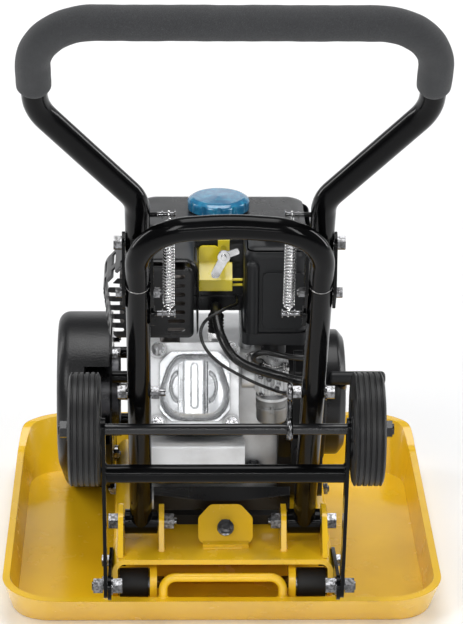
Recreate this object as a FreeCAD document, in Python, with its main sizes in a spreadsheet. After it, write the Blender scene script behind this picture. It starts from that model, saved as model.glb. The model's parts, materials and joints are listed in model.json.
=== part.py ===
import FreeCAD, Part
import math
import os
import re
import Sketcher
from FreeCAD import Placement, Rotation, Vector

# Plate compactor, forward-travelling, with a petrol engine and a fold-down handle.
# The frame's origin is the middle of the sole plate's underside. +Z is up, +Y is the
# direction of travel and +X is the operator's right.  All sizes are millimetres.

doc = FreeCAD.newDocument("plate_compactor")
sheet = doc.addObject("Spreadsheet::Sheet", "dims")

DIMENSIONS = [
    # sole plate: a pan with a steep rear flange, low sides and a high front flange
    ("plate_width", 500), ("plate_length", 480), ("plate_wall", 8),
    ("floor_rear", 197), ("floor_front", 190), ("floor_half", 241),
    ("rim_rear", 46), ("rim_front", 66), ("pan_height", 72),
    ("corner_low", 45), ("corner_high", 75),
    # lifting bar, isolators and deck
    ("bar_radius", 5), ("bar_half", 67),
    ("isolator_radius", 16.5), ("isolator_z", 50), ("isolator_rear", -200), ("isolator_front", 45),
    ("lug_inner", 74), ("lug_wall", 8),
    ("deck_half", 124), ("deck_wall", 6), ("deck_top", 86), ("deck_rear", -216), ("deck_front", 112),
    ("deck_skirt", 34), ("deck_bend", 14),
    # exciter across the front of the pan
    ("exciter_y", 145), ("exciter_z", 52), ("exciter_radius", 33.5), ("exciter_bore", 28),
    ("exciter_half", 58), ("exciter_shaft_radius", 10), ("eccentric_radius", 24),
    # engine: crank axis along X, cylinder laid 65 degrees back from the vertical
    ("crank_y", 10), ("crank_z", 194), ("cylinder_x", -32), ("cylinder_lay", 65),
    ("bore_radius", 34), ("plug_x", 24), ("crankcase_left", -85), ("crankcase_right", 65),
    ("journal_radius", 15), ("stub_radius", 10), ("running_gap", 0.05),
    ("head_width", 98), ("cover_width", 78), ("head_start", 150), ("head_end", 196),
    # drive
    ("drum_radius", 52), ("drum_groove", 40), ("pulley_groove", 24), ("belt_x", -161),
    ("belt_cover_left", -190), ("belt_cover_right", -129), ("cover_big", 95), ("cover_small", 42),
    ("cover_wall", 3),
    # tank, guard and air cleaner
    ("tank_half", 103), ("tank_rear", -85), ("tank_front", 50), ("tank_low", 335), ("tank_top", 430),
    ("tank_wall", 3), ("cap_x", -4), ("cap_y", -10), ("cap_radius", 35.5),
    ("guard_left", -130), ("guard_right", -28), ("guard_rear", -172), ("guard_front", -90),
    ("guard_low", 331), ("guard_top", 426), ("guard_wall", 2),
    ("cleaner_left", 22), ("cleaner_right", 92), ("cleaner_rear", -170), ("cleaner_front", -92),
    ("cleaner_low", 328), ("cleaner_top", 440),
    # fan housing and recoil starter
    ("fan_radius", 96), ("flywheel_radius", 84), ("recoil_radius", 74), ("recoil_right", 145),
    # handle: two legs lean back from the deck, a hoop joins them and the upper handle folds
    ("tube_radius", 12.5), ("tube_bore", 10.5), ("leg_x", 92.2), ("leg_lean", 31.4),
    ("pivot_y", -166.3), ("pivot_z", 110), ("leg_length", 442), ("hoop_top", 533),
    ("fold_along", 471), ("fold_offset", 30), ("pin_along", 253), ("spring_low", 393), ("spring_high", 516),
    ("spring_x", 61), ("spring_radius", 6.2), ("hinge_wall", 3),
    ("grip_half", 187), ("grip_top", 322), ("flare_low", 68), ("flare_high", 205), ("grip_start", 234),
    ("grip_corner", 58), ("foam_radius", 16.5),
    # transport wheels on a frame that swings down behind the plate
    ("swing_y", -267), ("swing_z", 80), ("axle_y", -311), ("axle_z", 289), ("axle_radius", 6),
    ("brace_y", -298), ("brace_z", 231), ("brace_radius", 10),
    ("arm_inner", 128.4), ("arm_wall", 4), ("arm_width", 22),
    ("wheel_radius", 60.5), ("wheel_inner", 133.6), ("wheel_width", 32.8), ("hub_radius", 32),
    ("latch_x", 67.6),
]
for row, (word, amount) in enumerate(DIMENSIONS, start=1):
    sheet.set(f"A{row}", word.replace("_", " "))
    sheet.set(f"B{row}", str(amount))
    sheet.setAlias(f"B{row}", word)
doc.recompute()

X_AXIS = Vector(1, 0, 0)
Y_AXIS = Vector(0, 1, 0)
Z_AXIS = Vector(0, 0, 1)
SIDES = (-1, 1)
nodes = {}


# --- helpers ---------------------------------------------------------------------------
def ref(expression):
    """The expression with every alias pointed at the sheet."""
    return re.sub(r"[a-z]\w*", lambda word: "dims." + word.group(), expression)


def num(amount):
    """A number, from a number or from an expression of aliases."""
    if isinstance(amount, str):
        return float(sheet.evalExpression(ref(amount)))
    return float(amount)


def vec(x, y, z):
    return Vector(num(x), num(y), num(z))


def bind(item, prop, amount):
    """Set a size, bound to the sheet where it is an expression."""
    if isinstance(amount, str):
        item.setExpression(prop, ref(amount))
    else:
        setattr(item, prop, amount)


def add(kind):
    return doc.addObject(kind, kind.split("::")[1])


def shifted(item, frame):
    """Put an item made in a local frame into the machine's frame."""
    item.Placement = frame.multiply(item.Placement)
    return item


def box(low, high):
    """A block between two corners; its three sizes follow the sheet."""
    item = add("Part::Box")
    for prop, first, last in zip(("Length", "Width", "Height"), low, high):
        if isinstance(first, str) or isinstance(last, str):
            bind(item, prop, f"({last}) - ({first})")
        else:
            setattr(item, prop, last - first)
    item.Placement.Base = vec(*low)
    return item


def rod(radius, start, end):
    """A round bar from one point to another."""
    item = add("Part::Cylinder")
    bind(item, "Radius", radius)
    run = end - start
    item.Height = run.Length
    item.Placement = Placement(start, Rotation(Z_AXIS, run))
    return item


def fuse(*items):
    if len(items) == 1:
        return items[0]
    item = add("Part::MultiFuse")
    item.Shapes = list(items)
    return item


def cut(base, *tools):
    item = add("Part::Cut")
    item.Base = base
    item.Tool = tools[0] if len(tools) == 1 else fuse(*tools)
    return item


def common(first, second):
    item = add("Part::MultiCommon")
    item.Shapes = [first, second]
    return item


def pipe(outer, inner, start, end):
    return cut(rod(outer, start, end), rod(inner, start, end))


def hexagon(flats, start, end):
    """A hexagonal bar, sized across its flats."""
    item = add("Part::Prism")
    item.Polygon = 6
    bind(item, "Circumradius", f"({flats}) / 1.7320508" if isinstance(flats, str) else flats / math.sqrt(3))
    run = end - start
    item.Height = run.Length
    item.Placement = Placement(start, Rotation(Z_AXIS, run))
    return item


def bolt(radius, seat, way, grip, flats, stud=0, washer=0):
    """A hexagon bolt: its head sits on `seat`, its shank runs `grip` along `way`, then a nut."""
    head = 0.65 * flats
    shank = fuse(
        hexagon(flats, seat - way * (head + washer), seat - way * washer),
        rod(radius, seat - way * washer, seat + way * (grip + stud)),
    )
    solids = [shank]
    if washer:
        solids.append(pipe(flats * 0.62, radius + 0.15, seat - way * washer, seat))
    if stud > head:
        nut = cut(
            hexagon(flats, seat + way * grip, seat + way * (grip + head)),
            rod(radius + 0.15, seat + way * (grip - 1), seat + way * (grip + head + 1)),
        )
        solids.append(nut)
    return solids


def route(points, radii, closed=False):
    """Edges of straight runs joined by tangent arcs, one radius for each corner."""
    count = len(points)
    corners = []
    for index, point in enumerate(points):
        if not closed and index in (0, count - 1):
            corners.append((point, None, point))
            continue
        before = (points[index - 1] - point).normalize()
        after = (points[(index + 1) % count] - point).normalize()
        half = before.getAngle(after) / 2
        radius = radii[index if closed else index - 1]
        if radius <= 0 or half > math.pi / 2 - 1e-6:
            corners.append((point, None, point))
            continue
        reach = radius / math.tan(half)
        middle = point + (before + after).normalize() * (radius / math.sin(half) - radius)
        corners.append((point + before * reach, middle, point + after * reach))
    edges = []
    for index, (first, middle, last) in enumerate(corners):
        if middle is not None:
            edges.append(Part.Arc(first, middle, last))
        if closed or index < count - 1:
            following = corners[(index + 1) % count][0]
            if (following - last).Length > 1e-6:
                edges.append(Part.LineSegment(last, following))
    return edges


def tube(points, radii, outer, inner=None):
    """A bent round tube, or a bar where it has no bore, along straight runs and arcs."""
    edges = [edge.toShape() for edge in route(points, radii)]
    path = add("Part::Feature")
    path.Shape = Part.Wire(edges)
    spine = (path, [f"Edge{i + 1}" for i in range(len(edges))])

    def swept(radius):
        ring = add("Part::Circle")
        bind(ring, "Radius", radius)
        ring.Placement = Placement(points[0], Rotation(Z_AXIS, points[1] - points[0]))
        item = add("Part::Sweep")
        item.Sections = [ring]
        item.Spine = spine
        item.Solid = True
        item.Frenet = False
        return item

    return swept(outer) if inner is None else cut(swept(outer), swept(inner))


def outline(points, radii):
    """A sketch of a closed outline with rounded corners."""
    sketch = add("Sketcher::SketchObject")
    flat = [Vector(num(x), num(y), 0) for x, y in points]
    radii = [num(radii)] * len(flat) if isinstance(radii, (int, float, str)) else [num(r) for r in radii]
    edges = route(flat, radii, closed=True)
    sketch.addGeometry(edges, False)
    return sketch


PLANES = {
    # sketch x, sketch y and normal in the machine's frame
    "YZ": Rotation(Y_AXIS, Z_AXIS, X_AXIS, "ZXY"),
    "XZ": Rotation(X_AXIS, Z_AXIS, -Y_AXIS, "ZXY"),
    "XY": Rotation(),
}


def slab(plane, points, radii, low, high):
    """An outline in one of the machine's planes, as thick as from `low` to `high` across it."""
    low, high = num(low), num(high)
    turn = PLANES[plane]
    normal = turn.multVec(Z_AXIS)
    start = high if plane == "XZ" else low
    sketch = outline(points, radii)
    sketch.Placement = Placement(normal * (start if plane != "XZ" else -start), turn)
    item = add("Part::Extrusion")
    item.Base = sketch
    item.DirMode = "Normal"
    item.LengthFwd = high - low
    item.Solid = True
    return item


def turned(points, centre, radii=0):
    """A solid of revolution about a line along X; the profile's points are (x, radius)."""
    sketch = outline(points, radii)
    sketch.Placement = Placement(Vector(0, centre.y, centre.z), PLANES["XZ"])
    item = add("Part::Revolution")
    item.Source = sketch
    item.Axis = X_AXIS
    item.Base = Vector(0, centre.y, centre.z)
    item.Angle = 360
    item.Solid = True
    return item


def rounded(base, radius, wanted):
    """Fillet the edges that `wanted` picks by their middle point and direction."""
    doc.recompute()
    picked = []
    for index, edge in enumerate(base.Shape.Edges, start=1):
        middle = edge.valueAt((edge.FirstParameter + edge.LastParameter) / 2)
        way = edge.tangentAt((edge.FirstParameter + edge.LastParameter) / 2)
        if wanted(middle, way):
            picked.append((index, num(radius), num(radius)))
    item = add("Part::Fillet")
    item.Base = base
    item.Edges = picked
    return item


def along(axis):
    """Picks the straight edges that run along an axis."""
    return lambda middle, way: abs(way.dot(axis)) > 0.999


def node(label, *items):
    """Name a sub-part; several solids become one compound."""
    if len(items) == 1:
        item = items[0]
    else:
        item = add("Part::Compound")
        item.Links = list(items)
    item.Label = label
    nodes[label] = item
    return item


def body(label):
    return doc.addObject("PartDesign::Body", label)


def body_sketch(owner, role, points, radii=0):
    """A closed rounded outline on one of the body's own origin planes."""
    sketch = owner.newObject("Sketcher::SketchObject", "Sketch")
    plane = [f for f in owner.Origin.OriginFeatures if f.Role == role][0]
    sketch.AttachmentSupport = [(plane, "")]
    sketch.MapMode = "FlatFace"
    flat = [Vector(num(x), num(y), 0) for x, y in points]
    radii = [num(radii)] * len(flat) if isinstance(radii, (int, float, str)) else [num(r) for r in radii]
    sketch.addGeometry(route(flat, radii, closed=True), False)
    return sketch


def body_ring(owner, role, centre, radius):
    """A bound circle on one of the body's own origin planes."""
    sketch = owner.newObject("Sketcher::SketchObject", "Sketch")
    plane = [f for f in owner.Origin.OriginFeatures if f.Role == role][0]
    sketch.AttachmentSupport = [(plane, "")]
    sketch.MapMode = "FlatFace"
    sketch.addGeometry(Part.Circle(Vector(centre[0], centre[1], 0), Z_AXIS, num(radius)), False)
    index = sketch.addConstraint(Sketcher.Constraint("Radius", 0, num(radius)))
    if isinstance(radius, str):
        sketch.setExpression(f"Constraints[{index}]", ref(radius))
    return sketch


def revolved(owner, sketch):
    """Turn a body's sketch about its own X axis."""
    item = owner.newObject("PartDesign::Revolution", "Revolution")
    item.Profile = sketch
    item.ReferenceAxis = (sketch, ["H_Axis"])
    item.Angle = 360
    return item


def padded(owner, sketch, length, reverse=False):
    item = owner.newObject("PartDesign::Pad", "Pad")
    item.Profile = sketch
    bind(item, "Length", length)
    item.Reversed = reverse
    return item


def pocketed(owner, sketch, length, reverse=False):
    """Cut a sketch out of the body, and make sure that it took something away."""
    doc.recompute()
    before = owner.Shape.Volume
    item = owner.newObject("PartDesign::Pocket", "Pocket")
    item.Profile = sketch
    bind(item, "Length", length)
    item.Reversed = reverse
    doc.recompute()
    if owner.Shape.Volume >= before:
        raise RuntimeError(f"{owner.Label}: the pocket cuts nothing")
    return item


def ring_of(owner, feature, count, sketch):
    """Repeat a feature round the body's X axis."""
    item = owner.newObject("PartDesign::PolarPattern", "PolarPattern")
    item.Originals = [feature]
    item.Axis = (sketch, ["H_Axis"])
    item.Angle = 360
    item.Occurrences = count
    owner.Tip = item
    return item


# --- frames that the tilted assemblies are drawn in ---------------------------------------
LEG = Placement(vec(0, "pivot_y", "pivot_z"), Rotation(X_AXIS, num("leg_lean")))
CYLINDER = Placement(vec("cylinder_x", "crank_y", "crank_z"), Rotation(X_AXIS, num("cylinder_lay")))
CRANK = vec(0, "crank_y", "crank_z")
EXCITER = vec(0, "exciter_y", "exciter_z")


def leg(x, forward, up):
    """A point on the handle's plane: x, distance forward of the legs, distance up them."""
    return LEG.multVec(vec(x, forward, up))


def barrel(x, up, out):
    """A point in the cylinder's frame: across, up, and out along the bore."""
    return CYLINDER.multVec(vec(x, up, out))


# --- sole plate -----------------------------------------------------------------------------
def pan_section(height, inset):
    """The pan's plan at a height, drawn in from the outer skin by `inset` metal thicknesses."""
    rear_run = (num("plate_length") / 2 - num("floor_rear")) / num("rim_rear")
    front_run = (num("plate_length") / 2 - num("floor_front")) / num("rim_front")
    side_run = (num("plate_width") / 2 - num("floor_half")) / num("rim_rear")
    wall = num("plate_wall") * inset
    rear = -num("floor_rear") - rear_run * height + wall * math.hypot(1, rear_run)
    front = num("floor_front") + front_run * height - wall * math.hypot(1, front_run)
    side = num("floor_half") + side_run * height - wall * math.hypot(1, side_run)
    share = height / num("pan_height")
    corner = num("corner_low") + (num("corner_high") - num("corner_low")) * share - wall
    sketch = outline([(-side, rear), (side, rear), (side, front), (-side, front)], corner)
    sketch.Placement.Base.z = height
    return sketch


def pan_loft(low, inset):
    item = add("Part::Loft")
    item.Sections = [pan_section(low, inset), pan_section(num("pan_height"), inset)]
    item.Solid = True
    item.Ruled = True
    return item


def build_plate():
    skin = pan_loft(0, 0)
    hollow = pan_loft(num("plate_wall"), 1)
    above = slab(
        "YZ",
        [(-300, "rim_rear"), ("floor_front - 20", "rim_rear"), ("floor_front + 14", "rim_front"),
         (300, "rim_front"), (300, 200), (-300, 200)],
        [0, 30, 30, 0, 0, 0], -300, 300)
    pan = cut(skin, hollow, above)
    node("base_plate", pan)
    return pan, pan_loft(num("plate_wall"), 1)


plate, pan_room = build_plate()


def build_lifting_bar():
    half = num("bar_half")
    points = [
        Vector(-half, -226, 40), Vector(-half, -222, 67), Vector(half, -222, 67), Vector(half, -226, 40),
    ]
    bar = tube(points, [14, 14], "bar_radius")
    node("lifting_bar", cut(bar, plate))


build_lifting_bar()

ISOLATORS = [(side, place) for place in ("isolator_rear", "isolator_front") for side in SIDES]


def build_isolators():
    lugs, rubbers, studs = [], [], []
    inner = num("lug_inner")
    face = inner + num("lug_wall")
    outer = num("deck_half") - num("deck_wall")
    for side, place in ISOLATORS:
        y = num(place)
        z = num("isolator_z")
        lug = slab(
            "YZ", [(y - 20, 5), (y + 20, 5), (y + 20, 72), (y - 20, 72)], [0, 0, 16, 16],
            min(side * inner, side * face), max(side * inner, side * face))
        hole = rod(4.3, Vector(0, y, z), Vector(side * 100, y, z))
        lugs.append(cut(common(lug, pan_room), hole))
        at = lambda x: Vector(side * x, y, z)
        rubber = add("Part::Cylinder")
        bind(rubber, "Radius", "isolator_radius")
        rubber.Height = outer - face - 4
        rubber.Placement = Placement(at(face + 2), Rotation(Z_AXIS, Vector(side, 0, 0)))
        rubbers.append(rubber)
        inner_plate = fuse(rod(15.5, at(face), at(face + 2)), rod(4, at(inner - 12), at(face)))
        end = outer + num("deck_wall") + (14 if place == "isolator_rear" else 10)
        outer_plate = fuse(rod(15.5, at(outer - 2), at(outer)), rod(4, at(outer), at(end)))
        studs += [inner_plate, outer_plate]
        seat = outer + num("deck_wall") + (4 if place == "isolator_rear" else 0)
        for start, stop in ((inner - 8, inner), (seat, seat + 8)):
            studs.append(cut(hexagon(13, at(start), at(stop)), rod(4.15, at(start - 1), at(stop + 1))))
    node("isolator_lugs", *lugs)
    node("rubber_isolators", *rubbers)
    return studs


plate_hardware = build_isolators()


# --- exciter --------------------------------------------------------------------------------
def build_exciter():
    half = num("exciter_half")
    y, z = EXCITER.y, EXCITER.z
    feet = [(x, fy) for x in (-46, 46) for fy in (y - 40, y + 33)]
    floor = num("plate_wall")
    foot = box((-56, y - 48, floor), (56, y + 40, floor + 10))
    casing = fuse(rod("exciter_radius", Vector(-half, y, z), Vector(half, y, z)), foot,
                  box((-50, y - 20, floor + 5), (50, y + 20, z - 10)))
    casing = cut(casing, rod("exciter_bore", Vector(-70, y, z), Vector(70, y, z)),
                 *[rod(4.3, Vector(x, fy, floor - 2), Vector(x, fy, floor + 12)) for x, fy in feet])
    node("exciter_housing", casing)
    covers, rings = [], []
    for side in SIDES:
        at = lambda x: Vector(side * x, y, z)
        cover = fuse(rod(33, at(half), at(half + 8)), rod(20, at(half + 8), at(half + 14)))
        bore = rod("exciter_shaft_radius + 0.6", at(half - 1), at(half + (20 if side < 0 else 10)))
        screws = [(math.cos(a), math.sin(a)) for a in (math.pi * (0.25 + 0.5 * i) for i in range(4))]
        holes = [rod(2.7, Vector(side * (half - 1), y + 29.5 * c, z + 29.5 * s),
                     Vector(side * (half + 9), y + 29.5 * c, z + 29.5 * s)) for c, s in screws]
        covers.append(cut(cover, bore, *holes))
        for c, s in screws:
            seat = Vector(side * (half + 8), y + 29.5 * c, z + 29.5 * s)
            plate_hardware.extend(bolt(2.5, seat, Vector(-side, 0, 0), 7.8, 8))
        rings.append(pipe("exciter_bore - 0.1", 21, at(half - 15), at(half - 1)))
        rings.append(pipe(16, "exciter_shaft_radius + 0.05", at(half - 15), at(half - 1)))
        for i in range(8):
            a = math.pi * i / 4
            ball = add("Part::Sphere")
            ball.Radius = 2.4
            ball.Placement.Base = Vector(side * (half - 8), y + 18.5 * math.cos(a), z + 18.5 * math.sin(a))
            rings.append(ball)
    node("exciter_covers", *covers)
    node("exciter_bearings", *rings)
    for x, fy in feet:
        plate_hardware.extend(bolt(4, Vector(x, fy, floor + 10), Vector(0, 0, -1), 9.8, 13, washer=1.5))

    end = num("belt_x") - 13
    shaft = rod("exciter_shaft_radius", Vector(end, y, z), Vector(half + 8, y, z))
    weight = cut(rod("eccentric_radius", Vector(-38, y, z), Vector(38, y, z)),
                 box((-40, y - 40, z + 2), (40, y + 40, z + 40)))
    node("exciter_shaft", fuse(shaft, weight))
    wheel = body("exciter_pulley")
    bx = num("belt_x")
    g = num("pulley_groove")
    profile = [(-11, 10.0), (11, 10.0), (11, g + 7), (7, g + 7),
               (4, g - 1), (-4, g - 1), (-7, g + 7), (-11, g + 7)]
    revolved(wheel, body_sketch(wheel, "XZ_Plane", profile))
    wheel.Placement.Base = Vector(bx, y, z)
    node("exciter_pulley", wheel)


build_exciter()
node("plate_hardware", *plate_hardware)


# --- engine deck ----------------------------------------------------------------------------
ENGINE_FEET = [(x, y) for x in (-68, 48) for y in (-79, 103)]


def build_deck():
    half, wall, top = num("deck_half"), num("deck_wall"), num("deck_top")
    rear, front, skirt = num("deck_rear"), num("deck_front"), num("deck_skirt")
    bend = num("deck_bend")
    deck = body("engine_deck")
    points = [(-half, skirt), (-half, top), (half, top), (half, skirt), (half - wall, skirt),
              (half - wall, top - wall), (wall - half, top - wall), (wall - half, skirt)]
    corners = [0, bend, bend, 0, 0, bend - wall, bend - wall, 0]
    sketch = body_sketch(deck, "XZ_Plane", points, corners)
    padded(deck, sketch, "deck_front - deck_rear")
    deck.Placement.Base = Vector(0, front, 0)
    hardware, holes = [], []
    for side, place in ISOLATORS:
        y, z = num(place), num("isolator_z")
        holes.append(rod(4.3, Vector(side * (half - 10), y, z), Vector(side * (half + 5), y, z)))
    corner_cuts = [
        slab("YZ", [(rear - 10, skirt - 5), (rear + 16, skirt - 5), (rear - 10, skirt + 30)], 0,
             -half - 5, half + 5),
    ]
    for x, y in ENGINE_FEET:
        holes.append(rod(4.3, Vector(x, y, top - 10), Vector(x, y, top + 5)))
        hardware += bolt(4, Vector(x, y, top - wall), Vector(0, 0, 1), wall + 14, 13, stud=10, washer=1.5)
    for side in SIDES:
        seat = Vector(side * (half - wall), -178, 66)
        holes.append(rod(4.3, seat - Vector(side * 3, 0, 0), seat + Vector(side * 12, 0, 0)))
        hardware += bolt(4, seat, Vector(side, 0, 0), wall + 4, 13, stud=9)
        pivot = vec(side * 124, "swing_y", "swing_z")
        hardware += bolt(5, pivot, Vector(side, 0, 0), 9.5, 16, stud=12, washer=1.5)
    stud_way = Vector(0, -math.cos(math.radians(35)), math.sin(math.radians(35)))
    seat = Vector(3.5, -169.7, 103.3)
    hardware.append(fuse(hexagon(16, seat + stud_way * 1.8, seat + stud_way * 9),
                         rod(5, seat - stud_way * 12, seat + stud_way * 17),
                         rod(9.5, seat, seat + stud_way * 1.9)))
    node("engine_deck", cut(deck, *holes, *corner_cuts))

    # upright ears that carry the handle's pivots, and the folded tie plate between them
    py, pz = num("pivot_y"), num("pivot_z")
    ears = []
    for side in SIDES:
        for inner, outer, back, fore in ((66, 72, -196, -134), (112, 117.9, -212, -130)):
            ear = slab("YZ", [(back, top), (fore, top), (py + 17, pz + 17), (py - 17, pz + 17)],
                       [0, 0, 15, 15], min(side * inner, side * outer), max(side * inner, side * outer))
            ears.append(cut(ear, rod(5.3, Vector(side * 60, py, pz), Vector(side * 120, py, pz))))

    tie = outline([(-31, -14), (-31, 12), (-17, 27), (17, 27), (31, 12), (31, -14), (18, -24), (-18, -24)], 9)
    plate_frame = Placement(seat - stud_way * 5, Rotation(X_AXIS, 55))
    tie.Placement = plate_frame
    face = add("Part::Extrusion")
    face.Base = tie
    face.DirMode = "Normal"
    face.LengthFwd = 5
    face.Solid = True
    foot = box((3.5 - 26, -188, "deck_top"), (3.5 + 26, -148, "deck_top + 5"))
    web = box((-10, -170, top), (17, -150, 100))
    below = box((-60, -260, 20), (60, -100, "deck_top"))
    tie_plate = cut(fuse(face, foot, web), below, rod(5.1, seat - stud_way * 14, seat + stud_way * 2))
    tie_plate.Placement.Base.x = 0
    node("deck_brackets", *ears, tie_plate)
    return hardware


deck_hardware = build_deck()
node("deck_hardware", *deck_hardware)


def build_wheel_brackets():
    brackets = []
    y, z = num("swing_y"), num("swing_z")
    for side in SIDES:
        edge = slab(
            "YZ", [(-164, 42), (-164, 78), (y - 15, z + 15), (y - 15, z - 15), (-246, 64), (-214, 40)],
            [8, 8, 14, 14, 8, 8], min(side * 124, side * 128), max(side * 124, side * 128))
        bores = ((4.2, -178, 66), (4.2, num("isolator_rear"), num("isolator_z")), (5.1, y, z))
        holes = [rod(r, Vector(side * 120, hy, hz), Vector(side * 130, hy, hz)) for r, hy, hz in bores]
        brackets.append(cut(edge, *holes))
    node("wheel_brackets", *brackets)


build_wheel_brackets()


# --- engine ---------------------------------------------------------------------------------
def build_crankcase():
    left, right = num("crankcase_left"), num("crankcase_right")
    top = num("deck_top")
    y, z = CRANK.y, CRANK.z
    block = rounded(box(("crankcase_left", y - 72, top), ("crankcase_right", y + 84, z + 74)), 22,
                    along(X_AXIS))
    flange = rounded(box((left, -91, top), (right, 111, top + 14)), 10, along(Z_AXIS))
    skirt = slab("YZ", [(y - 60, z - 95), (y - 60, z - 30), (y - 168, z + 10), (y - 168, z - 24)],
                 [0, 0, 6, 12], left + 4, right - 40)
    casting = fuse(block, flange, skirt)
    clear = add("Part::Box")
    clear.Length, clear.Width, clear.Height = 400, 300, 300
    clear.Placement = CYLINDER.multiply(Placement(Vector(-200, -46, 82), Rotation()))
    cavity = rod(62, Vector(left + 12, y, z), Vector(right - 10, y, z))
    journal = rod("journal_radius + running_gap", Vector(left - 5, y, z), Vector(right + 5, y, z))
    throat = rod("bore_radius", barrel(0, 0, 20), barrel(0, 0, 100))
    feet = [rod(4.3, Vector(x, by, top - 2), Vector(x, by, top + 16)) for x, by in ENGINE_FEET]
    nut_room = [rod(9.5, Vector(x, by, top + 14), Vector(x, by, top + 28)) for x, by in ENGINE_FEET]
    crankcase = cut(casting, clear, cavity, journal, throat, *feet, *nut_room)
    side_cover = fuse(rod(66, Vector(left - 9, y, z), Vector(left, y, z)),
                      rod(28, Vector(left - 16, y, z), Vector(left - 9, y, z)))
    node("crankcase_cover", cut(side_cover, rod("journal_radius + running_gap", Vector(left - 20, y, z),
                                                Vector(left + 5, y, z))))
    mat = [
        box((left + 2, -124, top), (right - 2, -94, top + 2)),
        box((-84, -126, top), (71, -112, top + 12)),
    ]
    node("engine_mat", fuse(*mat))
    return crankcase


HEAD_BOLTS = [(-41, 41), (41, 41), (41, -41), (-41, -41)]


def barrel_box(low, high):
    return shifted(box(low, high), CYLINDER)


def build_cylinder():
    start, end = 82, num("head_start")
    solids = [shifted(rod(44, Vector(0, 0, start), Vector(0, 0, end)), CYLINDER)]
    for i in range(9):
        z = start + 5 + 7 * i
        solids.append(shifted(rounded(box((-50, -45.8, z), (50, 50, z + 2.6)), 12, along(Z_AXIS)), CYLINDER))
    bore = rod("bore_radius", barrel(0, 0, start - 5), barrel(0, 0, end + 5))
    node("cylinder", cut(fuse(*solids), bore))

    half = num("head_width") / 2
    block = rounded(barrel_box((-44, -42, "head_start"), (44, 44, "head_end - 12")), 8,
                    lambda m, w: abs(w.dot(CYLINDER.Rotation.multVec(Z_AXIS))) > 0.999)
    flange = rounded(barrel_box((-half, -half, "head_end - 12"), (half, half, "head_end")), 14,
                     lambda m, w: abs(w.dot(CYLINDER.Rotation.multVec(Z_AXIS))) > 0.999)
    bosses = [shifted(rod(9, Vector(x, y, num("head_end") - 16), Vector(x, y, num("head_end") + 6)), CYLINDER)
              for x, y in HEAD_BOLTS]
    plug_seat = shifted(rod(13, vec("plug_x", 30, 168), vec("plug_x", 52, 172)), CYLINDER)
    rocker_room = rounded(barrel_box((-30, -30, "head_end - 14"), (30, 30, "head_end + 1")), 8,
                          lambda m, w: abs(w.dot(CYLINDER.Rotation.multVec(Z_AXIS))) > 0.999)
    holes = [rod(3.2, barrel(x, y, num("head_start") - 5), barrel(x, y, num("head_end") + 10))
             for x, y in HEAD_BOLTS]
    plug_hole = rod(5.2, barrel(num("plug_x"), 20, 166.4), barrel(num("plug_x"), 60, 173.4))
    node("cylinder_head", cut(fuse(block, flange, *bosses, plug_seat), rocker_room, plug_hole, *holes))

    lid = body("valve_cover")
    half = num("cover_width") / 2
    square = lambda r: [(-r, -r), (r, -r), (r, r), (-r, r)]
    padded(lid, body_sketch(lid, "XY_Plane", square(half), 14), 5)
    padded(lid, body_sketch(lid, "XY_Plane", square(half - 5), 12), 24)
    padded(lid, body_sketch(lid, "XY_Plane", [(-10, -30), (9, -30), (9, 31), (-10, 31)], 4), 28)
    pocketed(lid, body_sketch(lid, "XY_Plane", square(half - 8), 9), 21, reverse=True)
    shift = Placement(Vector(0, 0, num("head_end")), Rotation())
    lid.Placement = CYLINDER.multiply(shift)
    lid_top = num("head_end") + 27
    rows = [shifted(box((-6, -24 + 13 * i, lid_top), (5, -15 + 13 * i, lid_top + 4)), CYLINDER)
            for i in range(4)]
    corners = [rod(9.3, barrel(x, y, num("head_end") - 2), barrel(x, y, num("head_end") + 40))
               for x, y in HEAD_BOLTS]
    node("valve_cover", cut(fuse(lid, *rows), *corners))


build_cylinder()


def build_engine_bolts():
    solids = []
    down = CYLINDER.Rotation.multVec(-Z_AXIS)
    for x, y in HEAD_BOLTS:
        solids += bolt(3, barrel(x, y, num("head_end") + 6), down, 38, 12, washer=1.5)
    left = num("crankcase_left")
    for i in range(6):
        a = math.pi * (i / 3 + 1 / 6)
        seat = Vector(left - 9, CRANK.y + 58 * math.cos(a), CRANK.z + 58 * math.sin(a))
        solids += [fuse(hexagon(8, seat - X_AXIS * 4, seat), rod(6, seat - X_AXIS * 1, seat))]

    plug_x = num("plug_x")
    way = (barrel(plug_x, 60, 173.4) - barrel(plug_x, 20, 166.4)).normalize()
    foot = barrel(plug_x, 52.2, 172)
    plug = fuse(rod(5, foot - way * 17, foot + way * 1), hexagon(16, foot + way * 0.2, foot + way * 9),
                rod(5, foot + way * 9, foot + way * 24))
    cap = cut(rod(9, foot + way * 9.2, foot + way * 30), rod(5.05, foot + way * 5, foot + way * 24))
    elbow = rod(7, foot + way * 30, foot + way * 33)
    node("spark_plug", plug)
    return solids, cap, elbow, foot, way


engine_bolts, plug_cap, plug_elbow, plug_foot, plug_way = build_engine_bolts()


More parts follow.
